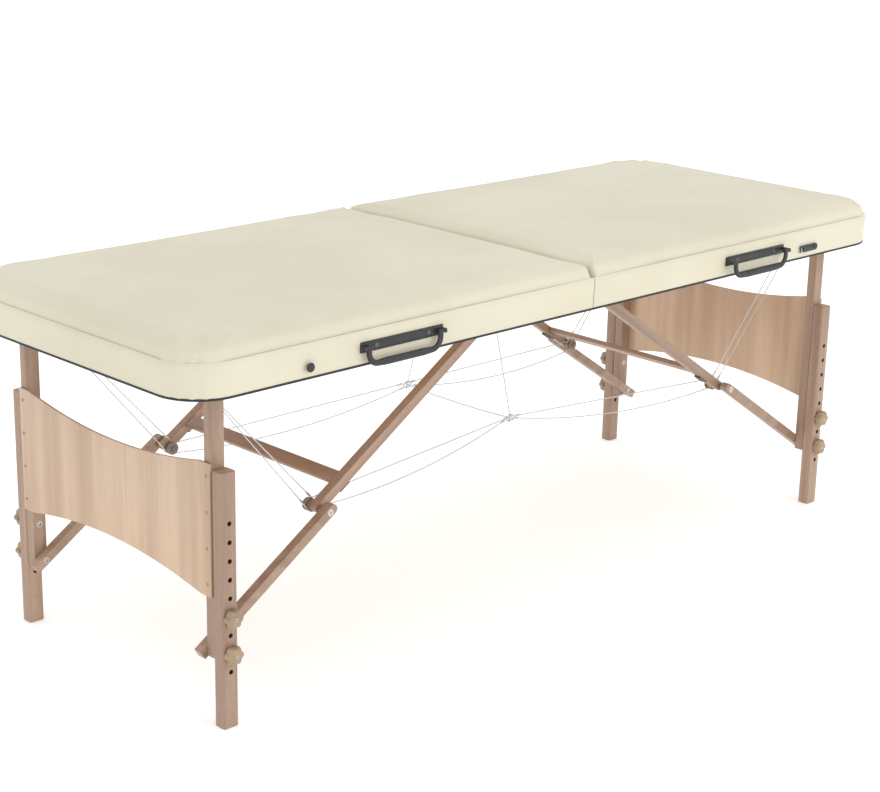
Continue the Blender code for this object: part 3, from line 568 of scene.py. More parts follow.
def settle_pad(pad, end):
    """Foam unevenness, creases at the corners, a snug fit in the skirt and a clean fold face."""
    co = np.array([v.co for v in pad.data.vertices])
    x, y, z = co[:, 0], co[:, 1] - MIDDLE_Y, co[:, 2]
    height = np.clip((z - PAD_LOW.z) / (PAD_HIGH.z - PAD_LOW.z), 0, 1)
    phase = 0.0 if end < 0 else 1.7
    swell = np.sin(7.1 * x + 1.3 + phase) * np.sin(8.3 * y + 0.4 - phase)
    swell = swell + 0.5 * np.sin(17 * x - 13 * y + phase)
    z += 0.0005 * swell * height
    crown = np.clip(1 - np.abs(y) / HALF_WIDTH, 0, 1)
    crown = crown * np.clip(1 - np.abs(x + HALF_LENGTH / 2) / HALF_LENGTH, 0, 1)
    z += 0.0022 * np.sqrt(crown) * height
    turn_x = -(HALF_LENGTH - CORNER_RADIUS)
    turn_y = np.sign(y) * (HALF_WIDTH - CORNER_RADIUS)
    dx, dy = x - turn_x, y - turn_y
    away = np.hypot(dx, dy)
    corner = (dx < 0) & (dy * np.sign(y) > 0) & (away > CORNER_RADIUS * 0.7)
    angle = np.arctan2(np.abs(dy), -dx)
    fold = np.sin(angle * 2) * np.sin(26 * angle + phase) * np.exp(-((height - 0.30) / 0.35) ** 2)
    push = np.where(corner, 0.0007 * fold, 0.0) / np.maximum(away, 1e-6)
    x += dx * push
    y += dy * push
    reach = np.clip((0.75 - height) / 0.45, 0, 1)
    apart = np.maximum(away, 1e-6)
    for gap, over_x, over_y in (
        (np.where(corner, CORNER_RADIUS - away, PAD_REACH), dx / apart, dy / apart),
        (np.where(corner, PAD_REACH, HALF_WIDTH - np.abs(y)), 0.0, np.sign(y)),
        (np.where(corner, PAD_REACH, HALF_LENGTH + x), -1.0, 0.0),
    ):
        gap = np.clip(gap, 0, PAD_REACH)
        fill = 0.9 * reach * gap * (1 - (gap / PAD_REACH) ** 2)
        x += fill * over_x
        y += fill * over_y
    side = (~corner) & (np.abs(y) > HALF_WIDTH - 0.012)
    ripple = np.sin(31 * x + phase) * np.sin(11 * x) * np.exp(-((height - 0.35) / 0.3) ** 2)
    y += np.where(side, np.sign(y) * 0.0005 * ripple, 0.0)
    x = np.minimum(x, -HALVES_EDGE)
    fold_edge = np.clip((x + 0.014) / 0.012, 0, 1)
    z -= 0.0045 * fold_edge**2 * height**3
    z = np.clip(z, PAD_LOW.z, TOP_LIMIT)
    co = np.stack([x if end < 0 else -x, y + MIDDLE_Y, z], axis=1)
    pad.data.vertices.foreach_set("co", co.astype(np.float32).ravel())
    if end > 0:
        pad.data.flip_normals()
    pad.data.update()
    pad.data.shade_smooth()


def add_pads():
    """Both pads: the left one is simulated, and the right one is its mirror image, settled apart."""
    left = pad_shape(-1)
    right = bpy.data.objects.new("pad_right", left.data.copy())
    scene.collection.objects.link(right)
    for end, pad in ((-1, left), (1, right)):
        settle_pad(pad, end)
        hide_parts(f"cushion_{ENDS[end]}")
        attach(pad, half_of(end))


SKIRT_STEP = 0.006
SKIRT_PROFILE = (
    (0.0000, -0.0008),
    (0.0014, -0.0008),
    (0.0019, 0.0010),
    (0.0020, 0.0100),
    (0.0023, 0.0200),
    (0.0027, 0.0300),
    (0.0033, 0.0390),
    (0.0038, 0.0450),
    (0.0040, 0.0500),
    (0.0034, 0.0550),
    (0.0012, 0.0590),
    (0.0004, 0.0590),
    (0.0002, 0.0300),
)
BINDING_PROFILE = (
    (0.0001, -0.0022),
    (0.0020, -0.0022),
    (0.0027, -0.0012),
    (0.0028, 0.0012),
    (0.0022, 0.0020),
    (0.0001, 0.0020),
)


def outline_path(end, spacing):
    """Points, outward directions and bend round the rails of one half, open at the fold."""
    radius = FRAME_SIDE - HALF_WIDTH + CORNER_RADIUS
    plan = half_plan(end, HALVES_EDGE, FRAME_END, FRAME_SIDE, radius, 24)
    points = []
    for (ax, ay), (bx, by) in zip(plan, plan[1:]):
        count = max(1, round(math.hypot(bx - ax, by - ay) / spacing))
        points += [(ax + (bx - ax) * i / count, ay + (by - ay) * i / count) for i in range(count)]
    points.append(plan[-1])
    turn_x, turn_y = FRAME_END - radius, FRAME_SIDE - radius
    path = []
    for x, y in points:
        dx = max(abs(x) - turn_x, 0.0) * end
        dy = max(abs(y - MIDDLE_Y) - turn_y, 0.0) * (1 if y > MIDDLE_Y else -1)
        away = Vector((dx, dy, 0)).normalized()
        bend = 2 * abs(away.x * away.y)
        path.append((Vector((x, y, 0)), away, bend))
    return path


def band(name, end, profile, finish, pleat=0.0):
    """A strip that follows the rails of one half, with small pleats round its corners."""
    work = bmesh.new()
    rings = []
    run, last = 0.0, None
    for point, away, bend in outline_path(end, SKIRT_STEP):
        run += (point - last).length if last else 0.0
        last = point
        ring = []
        for out, up in profile:
            low = 1 - min(max(up / 0.048, 0.0), 1.0)
            wave = pleat * bend * math.sin(run * 2 * math.pi / 0.021) * low * (0.4 + 0.6 * low)
            drift = 0.25 * pleat * math.sin(run * 9.0 + end) * math.sin(run * 3.1)
            shift = out + (wave + drift if out > 0.001 else 0.0)
            ring.append(work.verts.new(point + away * shift + Vector((0, 0, RAIL_BOTTOM + up))))
        rings.append(ring)
    skin(work, rings)
    strip = piece_from(work, name, finish)
    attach(strip, half_of(end))


def add_skirts():
    """The cover pulled down over the rails, and the black binding along its lower edge."""
    for end in ENDS:
        band(f"skirt_{ENDS[end]}", end, SKIRT_PROFILE, COVER, 0.0007)
        band(f"binding_{ENDS[end]}", end, BINDING_PROFILE, BINDING)


# ---- carried-over CAD pieces


def soften(name, finish, width, segments=3, angle=55):
    """Gives a CAD node its material and, when a width is given, rounded edges, with its mesh as it is."""
    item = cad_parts[name]
    item.data.materials.clear()
    item.data.materials.append(finish)
    weld = item.modifiers.new("weld", "WELD")
    weld.merge_threshold = 0.00001
    flat = item.modifiers.new("flat", "DECIMATE")
    flat.decimate_type = "DISSOLVE"
    flat.angle_limit = math.radians(0.5)
    if width:
        edge = item.modifiers.new("edge", "BEVEL")
        edge.width = width
        edge.segments = segments
        edge.limit_method = "ANGLE"
        edge.angle_limit = math.radians(angle)
        edge.harden_normals = True
        item.data.shade_smooth()
    else:
        item.data.shade_flat()


def finish_cad():
    """Materials and edges for the CAD nodes that stay in view."""
    for end, word in ENDS.items():
        soften(f"deck_{word}", DECK, 0.0)
        soften(f"frame_{word}", ALONG, 0.0)
        soften(f"hinge_leaf_{word}", ZINC, 0.0)
        soften(f"end_plate_{word}", PANEL, 0.0008, 2)
        soften(f"crossbar_{word}", ACROSS, 0.0006, 2, 40)
        soften(f"handle_base_{word}", BLACK, 0.0006, 2)
        for side in SIDES:
            tail = tail_of(end, side)
            soften(f"upper_leg_{tail}", UPRIGHT, 0.0032, 4)
            soften(f"lower_brace_{tail}", SLOPE[-end], 0.0034, 4)
            soften(f"upper_brace_{tail}", SLOPE[end], 0.0034, 4)
    soften("hinge_pin", ZINC, 0.0)
    for name in ("leg_rod_left", "leg_rod_right", "brace_rod_left", "brace_rod_right"):
        soften(name, ZINC, 0.0)
        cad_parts[name].data.shade_smooth()
    soften("latch_hook", BLACK, 0.0004, 2)


# ---- turned, sawn and cut pieces


def turned(name, profile, place, axis, finish, slot, body, count=32, replaces=()):
    """One turned piece that rides on a body."""
    work = bmesh.new()
    lathe_into(work, profile, place, axis, count)
    piece = piece_from(work, name, finish)
    if replaces:
        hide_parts(*replaces)
    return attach(piece, body)


EXTENSION_EDGE = 0.0048
EXTENSION_END_EDGE = 0.0016
HOLE_RADIUS = 0.0036
HOLE_RIM = 0.0008
HOLE_SPILL = 0.004
HOLES_ABOVE, HOLES_BELOW = 5, 4


def rounded_bar(low, high, radius, end_edge):
    """An upright bar with round corners and softly worn ends, as a bmesh."""
    work = bmesh.new()
    corners = ((high.x, high.y, 0), (low.x, high.y, 90), (low.x, low.y, 180), (high.x, low.y, 270))
    middle = Vector(((low.x + high.x) / 2, (low.y + high.y) / 2, 0))
    plan = []
    for x, y, start in corners:
        inner = (x - math.copysign(radius, x - middle.x), y - math.copysign(radius, y - middle.y))
        plan += arc(inner, radius, start, start + 90, 6)
    levels = []
    for drop, inset in ((0.0, 1.0), (0.3, 0.4), (1.0, 0.0)):
        levels.append((low.z + drop * end_edge, inset * end_edge))
    levels += [(low.z + high.z - z, inset) for z, inset in reversed(levels)]
    size = high - low
    rings = []
    for z, inset in levels:
        shrink = Vector((1 - 2 * inset / size.x, 1 - 2 * inset / size.y, 0))
        ring = []
        for x, y in plan:
            shrunk = (middle.x + (x - middle.x) * shrink.x, middle.y + (y - middle.y) * shrink.y, z)
            ring.append(work.verts.new(shrunk))
        rings.append(ring)
    skin(work, rings)
    return work


def add_extension(end, side):
    """A sliding lower leg: rounded edges, and a row of round holes with worn rims, the holes and rims
    coloured dark as painted shade.
    """
    tail = tail_of(end, side)
    source = f"leg_extension_{tail}"
    low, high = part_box(source)
    bar = rounded_bar(low, high, EXTENSION_EDGE, EXTENSION_END_EDGE)
    piece = piece_from(bar, f"sliding_leg_{tail}", UPRIGHT, smooth=False)
    pitch = (UPPER_STUD_Z - LOWER_STUD_Z) / 2
    cutter = bmesh.new()
    middle = (low + high) / 2
    face = (high.y - low.y) / 2
    deep = face + HOLE_SPILL
    rim = HOLE_RADIUS + HOLE_RIM
    profile = (
        (rim + HOLE_SPILL, -deep),
        (rim, -face),
        (HOLE_RADIUS, HOLE_RIM - face),
        (HOLE_RADIUS, face - HOLE_RIM),
        (rim, face),
        (rim + HOLE_SPILL, deep),
    )
    for index in range(-HOLES_ABOVE, HOLES_BELOW):
        z = UPPER_STUD_Z - index * pitch
        lathe_into(cutter, profile, (middle.x, middle.y, z), (0, 1, 0), 20)
    # The cutter hands its painted shade colour to the hole walls and rims.
    tool = piece_from(cutter, "hole_tool", BORE_SHADE, smooth=False)
    cut = piece.modifiers.new("holes", "BOOLEAN")
    cut.object = tool
    cut.solver = "EXACT"
    cut.material_mode = "TRANSFER"
    apply_modifiers(piece)
    bpy.data.objects.remove(tool)
    piece.data.shade_smooth()
    piece.data.set_sharp_from_angle(angle=math.radians(35))
    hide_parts(source)
    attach(piece, f"extension_{tail}")


KNOB_LOBES = 6
KNOB_DIP = 0.080
KNOB_DEPTH = 0.0160
THREAD_STEP = 0.0006
KNOB_RINGS = (
    (0.30, 0.0000, 0.00),
    (0.62, 0.0000, 0.35),
    (0.86, 0.0008, 0.80),
    (0.97, 0.0030, 0.95),
    (1.00, 0.0065, 1.00),
    (0.99, 0.0100, 1.00),
    (0.93, 0.0132, 0.95),
    (0.80, 0.0152, 0.85),
    (0.58, 0.0160, 0.50),
    (0.40, 0.0162, 0.15),
    (0.31, 0.0160, 0.00),
)


def add_knob(end, side, level):
    """A turned star knob: six soft lobes, a domed face, a zinc insert and its threaded stud."""
    tail = f"{level}_{tail_of(end, side)}"
    source = f"knob_{tail}"
    low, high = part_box(source)
    away = Vector((0, side, 0))
    radius = (high.x - low.x) / 2
    middle = (low + high) / 2
    outer = high.y if side > 0 else low.y
    place = Vector((middle.x, outer - side * KNOB_DEPTH, middle.z))
    work = bmesh.new()
    rings = []
    for scale, along, lobed in KNOB_RINGS:
        ring = []
        for a in angles_of(KNOB_LOBES * 12):
            dip = KNOB_DIP * lobed * (1 - math.cos(KNOB_LOBES * a)) ** 1.3
            reach = radius * scale * (1 - dip)
            ring.append(work.verts.new(place + away * along + Vector((math.cos(a), 0, math.sin(a))) * reach))
        rings.append(ring)
    skin(work, rings)
    knob = piece_from(work, f"star_{tail}", KNOB_WOOD)
    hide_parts(source)
    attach(knob, source)

    stud = bmesh.new()
    reach = abs(place.y - (high.y if side < 0 else low.y))
    turns = range(int(reach / THREAD_STEP))
    thread = [(0.0030 if k % 2 else 0.0026, -reach + THREAD_STEP * k) for k in turns]
    profile = [(0.0016, -reach - THREAD_STEP), *thread, (0.0030, 0.0), (0.0030, 0.0155), (0.0033, 0.0160)]
    profile += [(0.0033, 0.0165), (0.0028, 0.0168), (0.0014, 0.0168), (0.0012, 0.0160)]
    lathe_into(stud, profile, place, away, 20)
    bolt = piece_from(stud, f"stud_{tail}", ZINC)
    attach(bolt, source)
    washer = [(0.0040, 0.0), (0.0085, 0.0), (0.0088, -0.0004), (0.0085, -0.0007), (0.0040, -0.0007)]
    turned(f"washer_{tail}", washer, place, away, ZINC, "steel", source)


SPOOL_FLANGE = 0.0025
SPOOL_GROOVE = (SPOOL_OUTSIDE - SPOOL_INSIDE - 3 * SPOOL_FLANGE) / 2
END_GROOVE = SPOOL_OUTSIDE - SPOOL_FLANGE - SPOOL_GROOVE / 2
LONG_GROOVE = SPOOL_INSIDE + SPOOL_FLANGE + SPOOL_GROOVE / 2
SPOOL_WAIST = 0.0085
SPACER_GAP = 0.0002


def add_spool(end, side):
    """A turned wooden spool with two cable grooves, the knee bolt and the spacer on it."""
    tail = tail_of(end, side)
    source = f"knee_spool_{tail}"
    low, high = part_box(source)
    middle = (low + high) / 2
    radius = (high.x - low.x) / 2
    profile = []
    for index in range(3):
        start = index * (SPOOL_FLANGE + SPOOL_GROOVE)
        rounded = [(radius - 0.0007, 0.0), (radius, 0.0006), (radius, SPOOL_FLANGE - 0.0006)]
        profile += [(r, start + along) for r, along in [*rounded, (radius - 0.0007, SPOOL_FLANGE)]]
        if index < 2:
            profile += [(SPOOL_WAIST, start + SPOOL_FLANGE + 0.0008)]
            profile += [(SPOOL_WAIST, start + SPOOL_FLANGE + SPOOL_GROOVE - 0.0008)]
    length = SPOOL_OUTSIDE - SPOOL_INSIDE
    profile = [(0.0045, 0.0), *profile, (0.0045, length)]
    body = f"upper_braces_{ENDS[end]}"
    place = Vector((middle.x, MIDDLE_Y + side * SPOOL_INSIDE, middle.z))
    # The spool and its spacer take beech darkened partly as painted shade.
    turned(f"spool_{tail}", profile, place, (0, side, 0), SPOOL_SHADED_WOOD, "beech", body, 40, (source,))
    reach = BRACE_INSIDE - TOUCH_GAP - SPOOL_INSIDE
    head = [(0.0015, -0.0022), (0.0042, -0.0022), (0.0058, -0.0012), (0.0062, 0.0)]
    head += [(0.0034, 0.0004), (0.0034, reach)]
    turned(f"knee_bolt_{tail}", head, place, (0, side, 0), DARK_STEEL, "steel", body, 28)
    near, far = UPPER_OUTSIDE + TOUCH_GAP - SPOOL_INSIDE, reach - SPACER_GAP
    sleeve = [(0.0036, near), (0.0064, near), (0.0068, near + 0.0004)]
    sleeve += [(0.0068, far - 0.0004), (0.0064, far), (0.0036, far)]
    turned(f"spacer_{tail}", sleeve, place, (0, side, 0), SPOOL_SHADED_WOOD, "beech", body, 28)


def add_fastener_rings(end, side):
    """T-nuts in the inner faces of a leg and a brace, and the flat bolt head at the knee."""
    word, tail = ENDS[end], tail_of(end, side)
    ring = [(0.0032, 0.0), (0.0032, -0.0005), (0.0038, -0.0005)]
    ring += [(0.0042, -0.0004), (0.0056, -0.0003), (0.0058, 0.0)]
    for level, inside, z, body in (
        ("upper", LEG_INSIDE, UPPER_STUD_Z, f"legs_{word}"),
        ("lower", BRACE_INSIDE, LOWER_STUD_Z, f"lower_braces_{word}"),
    ):
        place = Vector((end * LEG_X, MIDDLE_Y + side * inside, z))
        turned(f"tnut_{level}_{tail}", ring, place, (0, side, 0), ZINC, "steel", body, 28)
    head = [(0.0018, -0.0010), (0.0018, 0.0003), (0.0050, 0.0006), (0.0064, 0.0003), (0.0066, -0.0010)]
    place = Vector((end * KNEE.x, MIDDLE_Y + side * BRACE_OUTSIDE, KNEE.z))
    turned(f"knee_cap_{tail}", head, place, (0, side, 0), ZINC, "steel", f"lower_braces_{word}", 28)


SCREW_PITCH = 0.063
SCREW_DISTANCE = 0.2690


def add_plate_screws(end, side):
    """Four countersunk screws in their light rings, along one edge of an end plate."""
    low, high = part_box(f"end_plate_{ENDS[end]}")
    face = low.x if end < 0 else high.x
    y = MIDDLE_Y + side * SCREW_DISTANCE
    start = (low.z + high.z) / 2 - 1.5 * SCREW_PITCH
    work = bmesh.new()
    for index in range(4):
        place = Vector((face, y, start + index * SCREW_PITCH))
        profile = [(0.0030, -0.0006), (0.0030, 0.0002), (0.0027, 0.0005), (0.0022, 0.0006)]
        profile += [(0.0019, 0.0002), (0.0010, 0.0002), (0.0006, -0.0006)]
        lathe_into(work, profile, place, (end, 0, 0), 20)
    piece = piece_from(work, f"plate_screws_{tail_of(end, side)}", BRASS)
    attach(piece, f"legs_{ENDS[end]}")


BUMPER_TOP, BUMPER_BOTTOM = 0.0088, 0.0128
BUMPER_LENGTH, BUMPER_WIDTH = 0.026, 0.017


def add_brace_bumper(end, side):
    """The small dark bumper under an upper brace, where the crossbar joins it."""
    bar_low, bar_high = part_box(f"crossbar_{ENDS[end]}")
    brace_low, brace_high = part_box(f"upper_brace_{tail_of(end, side)}")
    across = abs((bar_low + bar_high).x / 2) - ROD.x
    reach = across / math.cos(BRACE_ANGLE)
    along = Vector((end * math.cos(BRACE_ANGLE), 0, -math.sin(BRACE_ANGLE)))
    below = Vector((-end * math.sin(BRACE_ANGLE), 0, -math.cos(BRACE_ANGLE)))
    turn = Matrix((along, Vector((0, 1, 0)), below)).transposed()
    place = Vector((end * ROD.x, (brace_low.y + brace_high.y) / 2, ROD.z)) + along * reach
    work = bmesh.new()
    half = Vector((BUMPER_LENGTH, BUMPER_WIDTH, 0)) / 2
    box_into(work, UP * BUMPER_TOP - half, UP * BUMPER_BOTTOM + half, 0.0012)
    for vert in work.verts:
        vert.co = turn @ vert.co + place
    for step in (-0.007, 0.007):
        spot = place + along * step + below * BUMPER_BOTTOM
        lathe_into(work, [(0.0024, -0.0004), (0.0024, 0.0004), (0.0012, 0.0006)], spot, below, 16)
    piece = piece_from(work, f"bumper_{tail_of(end, side)}", RUBBER)
    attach(piece, f"upper_braces_{ENDS[end]}")


# ---- cables


CABLE_RADIUS = 0.0010
FERRULE_RADIUS = 0.0021
RING_Z = 0.333
RING_DISTANCE = 0.147
RING_OFFSET = 0.012
RING_SPREAD = 0.003
RING_LOOP = (0.0105, 0.0062)
JOINER_HALF = Vector((0.0034, 0.0030, 0.0068))
HINGE_ANCHOR = 0.080
ANCHOR_SPREAD = 0.007
STRAND_SAG = 0.022


def strand(start, stop, sag, steps):
    """Points from start to stop, hanging below the straight line by sag at the middle."""
    points = []
    for index in range(steps + 1):
        share = index / steps
        point = start.lerp(stop, share)
        point.z -= 4 * sag * share * (1 - share)
        points.append(point)
    return points


def round_spool(end, side, fixed_a, fixed_b, groove, sag):
    """A cable from one fixed end, round the knee spool and back to the other."""
    middle = Vector((end * KNEE.x, MIDDLE_Y + side * groove, KNEE.z))
    toward = (fixed_a + fixed_b) / 2 - middle
    toward.y = 0
    toward.normalize()
    across = Vector((-toward.z, 0, toward.x))
    if across.z < 0:
        across.negate()
    radius = SPOOL_WAIST + CABLE_RADIUS + 0.0003
    turn = []
    for index in range(13):
        angle = math.pi * index / 12
        turn.append(middle + radius * (across * math.cos(angle) - toward * math.sin(angle)))
    first = strand(fixed_a, turn[0], 0.0, 24)
    last = strand(turn[-1], fixed_b, sag, 24)
    return first[:-1] + turn + last[1:]


def line_length(points):
    """Length of a line through its points."""
    return sum((b - a).length for a, b in zip(points, points[1:]))


def add_cable(name, points, swells, source):
    """One cable of a half: it replaces its CAD node and rides on that half."""
    work = bmesh.new()
    tube_into(work, smooth_line(points, 0.006), CABLE_RADIUS, 8, swells)
    piece = piece_from(work, name, (ROPE, ZINC))
    piece.data.shade_smooth()
    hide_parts(source)
    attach(piece, "right_half" if "right" in name else "left_half")
    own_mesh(piece)


def add_side_cables(end, side):
    """The end cable, up to the frame, and the long cable, in to the centre joiner."""
    tail = tail_of(end, side)
    low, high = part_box(f"end_cable_{tail}")
    anchor_x = low.x + 0.0005 if end < 0 else high.x - 0.0005
    anchor_z = high.z - 0.0006
    outer = Vector((anchor_x, MIDDLE_Y + side * (END_GROOVE - ANCHOR_SPREAD), anchor_z))
    inner = Vector((anchor_x, MIDDLE_Y + side * (END_GROOVE + ANCHOR_SPREAD), anchor_z))
    route = round_spool(end, side, outer, inner, END_GROOVE, 0.0)
    total = line_length(route)
    straight = line_length(route[:25])
    marks = [(straight - 0.030, straight - 0.018), (total - straight + 0.018, total - straight + 0.030)]
    swells = [(a, b, FERRULE_RADIUS) for a, b in [(0.0, 0.012), *marks, (total - 0.012, total)]]
    add_cable(f"cable_end_{tail}", route, swells, f"end_cable_{tail}")

    ring = Vector((end * RING_OFFSET, MIDDLE_Y + side * RING_DISTANCE, RING_Z))
    spread = Vector((0, side, 1)) * RING_SPREAD
    upper, lower = ring + spread, ring - spread
    route = round_spool(end, side, upper, lower, LONG_GROOVE, STRAND_SAG)
    total = line_length(route)
    swells = [(0.0, 0.010, FERRULE_RADIUS), (total - 0.010, total, FERRULE_RADIUS)]
    add_cable(f"cable_long_{tail}", route, swells, f"long_cable_{tail}")


def add_centre_cable():
    """From the hinge down to one joiner, across to the other and back up, with both joiners."""
    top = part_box("centre_cable")[1].z - CABLE_RADIUS
    points = []
    for side in (-1, 1):
        hinge = Vector((0, MIDDLE_Y + side * HINGE_ANCHOR, top))
        ring = Vector((0, MIDDLE_Y + side * RING_DISTANCE, RING_Z))
        run = strand(hinge, ring, 0.0, 20)
        points += run if side < 0 else run[::-1]
    work = bmesh.new()
    middle = strand(points[20], points[21], 0.004, 24)
    route = points[:20] + middle + points[22:]
    tube_into(work, route, CABLE_RADIUS, 8)
    for side in (-1, 1):
        place = Vector((0, MIDDLE_Y + side * RING_DISTANCE, RING_Z))
        loop = []
        for a in angles_of(28):
            loop.append(place + Vector((RING_LOOP[0] * math.cos(a), 0, RING_LOOP[1] * math.sin(a))))
        before = len(work.faces)
        tube_into(work, loop, 0.0014, 8, closed=True)
        work.faces.ensure_lookup_table()
        for face in work.faces[before:]:
            face.material_index = 1
        box_into(work, place - JOINER_HALF, place + JOINER_HALF, 0.001)
    piece = piece_from(work, "cable_centre", (ROPE, ZINC))
    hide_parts("centre_cable")
    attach(piece, "hinge_line")


ANCHOR_THICKNESS = 0.0016


def add_anchor_plates(end, side):
    """The steel eye plate under the deck that holds both ends of an end cable."""
    tail = tail_of(end, side)
    low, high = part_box(f"end_cable_{tail}")
    x = low.x if end < 0 else high.x
    y = MIDDLE_Y + side * END_GROOVE
    under = RAIL_TOP - ANCHOR_THICKNESS
    work = bmesh.new()
    box_into(work, (x - 0.010, y - 0.016, under), (x + 0.010, y + 0.016, RAIL_TOP - 0.0001), 0.0005)
    head = [(0.0034, 0.0), (0.0030, 0.0012), (0.0012, 0.0018)]
    for step in (-0.0125, 0.0125):
        lathe_into(work, head, (x, y + step, under), -UP, 16)
    piece = piece_from(work, f"anchor_{tail}", ZINC)
    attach(piece, half_of(end))


# ---- handles and latch


BAIL_BEND = 0.020
BAIL_SIDES = 16
HANDLE_RISE = 0.0306
HANDLE_FACE = 0.0063


def add_handle(end):
    """A carrying bail: round shoulders, a fuller grip with finger ribs, and an eye at each end."""
    source = f"handle_{ENDS[end]}"
    low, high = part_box(source)
    middle = (low + high) / 2
    eye_z = high.z - 0.0035
    half = (high.x - low.x) / 2 - 0.0070
    drop = eye_z - low.z - 0.0060
    path = [Vector((-half, 0, 0.0030)), Vector((-half, 0, -0.004))]
    for k in range(7):
        a = math.pi / 2 * k / 6
        turn = Vector((BAIL_BEND - BAIL_BEND * math.cos(a), 0, -drop + BAIL_BEND - BAIL_BEND * math.sin(a)))
        path.append(Vector((-half, 0, 0)) + turn)
    path += [Vector((-half + BAIL_BEND + (half - BAIL_BEND) * k / 8, 0, -drop)) for k in range(1, 8)]
    path += [Vector((-p.x, 0, p.z)) for p in reversed(path)]
    path = smooth_line(path, 0.002)
    total = line_length(path)
    work = bmesh.new()
    rings = []
    run = 0.0
    for i, point in enumerate(path):
        run += (point - path[i - 1]).length if i else 0.0
        before, after = path[max(i - 1, 0)], path[min(i + 1, len(path) - 1)]
        ahead = (after - before).normalized()
        across = Vector((-ahead.z, 0, ahead.x))
        share = abs(run / total - 0.5) * 2
        grip = 1.0 - min(max((share - 0.42) / 0.16, 0.0), 1.0)
        rib = 0.00025 * grip * math.sin(run * 2 * math.pi / 0.006)
        wide = 0.0052 + 0.0012 * grip + rib
        deep = 0.0031 + 0.0003 * grip + rib
        ring = []
        for a in angles_of(BAIL_SIDES):
            c, n = math.cos(a), math.sin(a)
            squared = (abs(c) ** 3 + abs(n) ** 3) ** (-1 / 3)
            offset = across * (wide * c * squared) + Vector((0, deep * n * squared, 0))
            ring.append(work.verts.new(Vector((middle.x, middle.y, eye_z)) + point + offset))
        rings.append(ring)
    skin(work, rings)
    eye = [(0.0022, 0.0), (0.0032, 0.0), (0.0036, 0.0008)]
    eye += [(0.0036, 0.0128), (0.0032, 0.0136), (0.0022, 0.0136)]
    for sign in (-1, 1):
        place = Vector((middle.x + sign * half - 0.0068, middle.y, eye_z))
        lathe_into(work, eye, place, (1, 0, 0), 20)
    piece = piece_from(work, f"bail_{ENDS[end]}", BLACK)
    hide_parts(source)
    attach(piece, source)


def add_handle_screws(end):
    """Two dished screw heads in each handle's base."""
    low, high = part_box(f"handle_base_{ENDS[end]}")
    face = MIDDLE_Y - FRAME_SIDE - HANDLE_FACE
    head = [(0.0040, -0.0004), (0.0038, 0.0006), (0.0026, 0.0011), (0.0014, 0.0011), (0.0008, 0.0004)]
    work = bmesh.new()
    for x in (low.x + 0.034, high.x - 0.034):
        lathe_into(work, head, (x, face, RAIL_BOTTOM + HANDLE_RISE), (0, -1, 0), 20)
    piece = piece_from(work, f"handle_screws_{ENDS[end]}", DARK_STEEL)
    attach(piece, half_of(end))


def add_latch_stud():
    """The headed button that the latch hook drops over, with a domed face."""
    low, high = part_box("latch_stud")
    middle = (low + high) / 2
    place = Vector((middle.x, high.y, middle.z))
    reach = high.y - low.y
    profile = [(0.0025, 0.0), (0.0025, reach - 0.0042), (0.0070, reach - 0.0042), (0.0079, reach - 0.0034)]
    profile += [(0.0080, reach - 0.0020), (0.0072, reach - 0.0008), (0.0052, reach - 0.0001), (0.0020, reach)]
    finish = (BLACK, "black_plastic", "left_half")
    turned("latch_button", profile, place, (0, -1, 0), *finish, 40, ("latch_stud",))


add_pads()
add_skirts()
finish_cad()
for end in ENDS:
    add_handle(end)
    add_handle_screws(end)
    for side in SIDES:
        add_extension(end, side)
        add_spool(end, side)
        add_fastener_rings(end, side)
        add_plate_screws(end, side)
        add_brace_bumper(end, side)
        add_side_cables(end, side)
        add_anchor_plates(end, side)
        for level in ("upper", "lower"):
            add_knob(end, side, level)
add_centre_cable()
add_latch_stud()

# ---- stage, light and camera


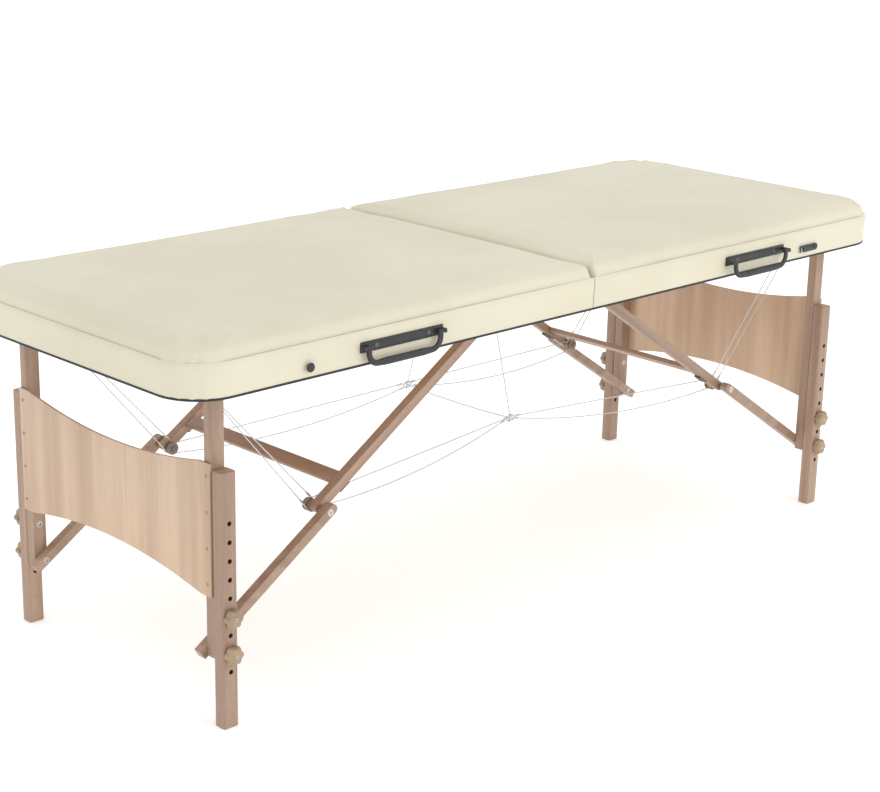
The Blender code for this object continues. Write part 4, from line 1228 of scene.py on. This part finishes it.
def add_floor():
    """A wide pale floor."""
    made, tree, shader = principled("floor_pale", Roughness=0.9)
    drift = noise_node(tree, place_of(tree), 0.6, 2.0, 0.5, 0.0)
    socket_value(shader.inputs["Base Color"], mix_colour(tree, drift, (0.92, 0.92, 0.92), (0.94, 0.94, 0.94)))
    socket_value(shader.inputs["Emission Color"], (1.0, 1.0, 1.0))
    socket_value(shader.inputs["Emission Strength"], 0.30)
    work = bmesh.new()
    bmesh.ops.create_grid(work, x_segments=4, y_segments=4, size=30.0)
    floor = piece_from(work, "floor", made, smooth=False)


def add_light(name, place, aim, size, power):
    """A soft square light that faces a point."""
    lamp = bpy.data.lights.new(name, "AREA")
    lamp.shape = "SQUARE"
    lamp.size = size
    lamp.energy = power
    made = bpy.data.objects.new(name, lamp)
    scene.collection.objects.link(made)
    made.location = place
    made.rotation_euler = (Vector(aim) - Vector(place)).to_track_quat("-Z", "Y").to_euler()


def add_world(strength):
    """Even studio light from all round."""
    world = bpy.data.worlds.new("studio")
    world.use_nodes = True
    back = world.node_tree.nodes["Background"]
    back.inputs["Color"].default_value = (1.0, 1.0, 1.0, 1.0)
    back.inputs["Strength"].default_value = strength
    scene.world = world


CAMERA_PLACE = Vector((-2.6411, -2.6275, 1.5003))
CAMERA_AZIMUTH = math.radians(-44.4956)
CAMERA_ELEVATION = math.radians(17.2369)
CAMERA_ROLL = math.radians(1.2163)
CAMERA_LENS = 79.6


def add_camera():
    """The camera at the photograph's viewing angle."""
    data = bpy.data.cameras.new("camera")
    data.lens = CAMERA_LENS
    data.sensor_width = 36.0
    camera = bpy.data.objects.new("camera", data)
    scene.collection.objects.link(camera)
    level = math.cos(CAMERA_ELEVATION)
    back = Vector(
        (math.sin(CAMERA_AZIMUTH) * level, -math.cos(CAMERA_AZIMUTH) * level, math.sin(CAMERA_ELEVATION))
    )
    right = (-back).cross(Vector((0, 0, 1))).normalized()
    up = right.cross(-back)
    turned_right = right * math.cos(CAMERA_ROLL) + up * math.sin(CAMERA_ROLL)
    turned_up = up * math.cos(CAMERA_ROLL) - right * math.sin(CAMERA_ROLL)
    axes = Matrix((turned_right, turned_up, back)).transposed().to_4x4()
    camera.matrix_world = Matrix.Translation(CAMERA_PLACE) @ axes
    scene.camera = camera


add_floor()
add_world(1.0)
add_light("key", (1.2, -4.2, 2.6), (0, 0, 0.4), 3.0, 35)
add_camera()
scene.view_settings.view_transform = "Standard"
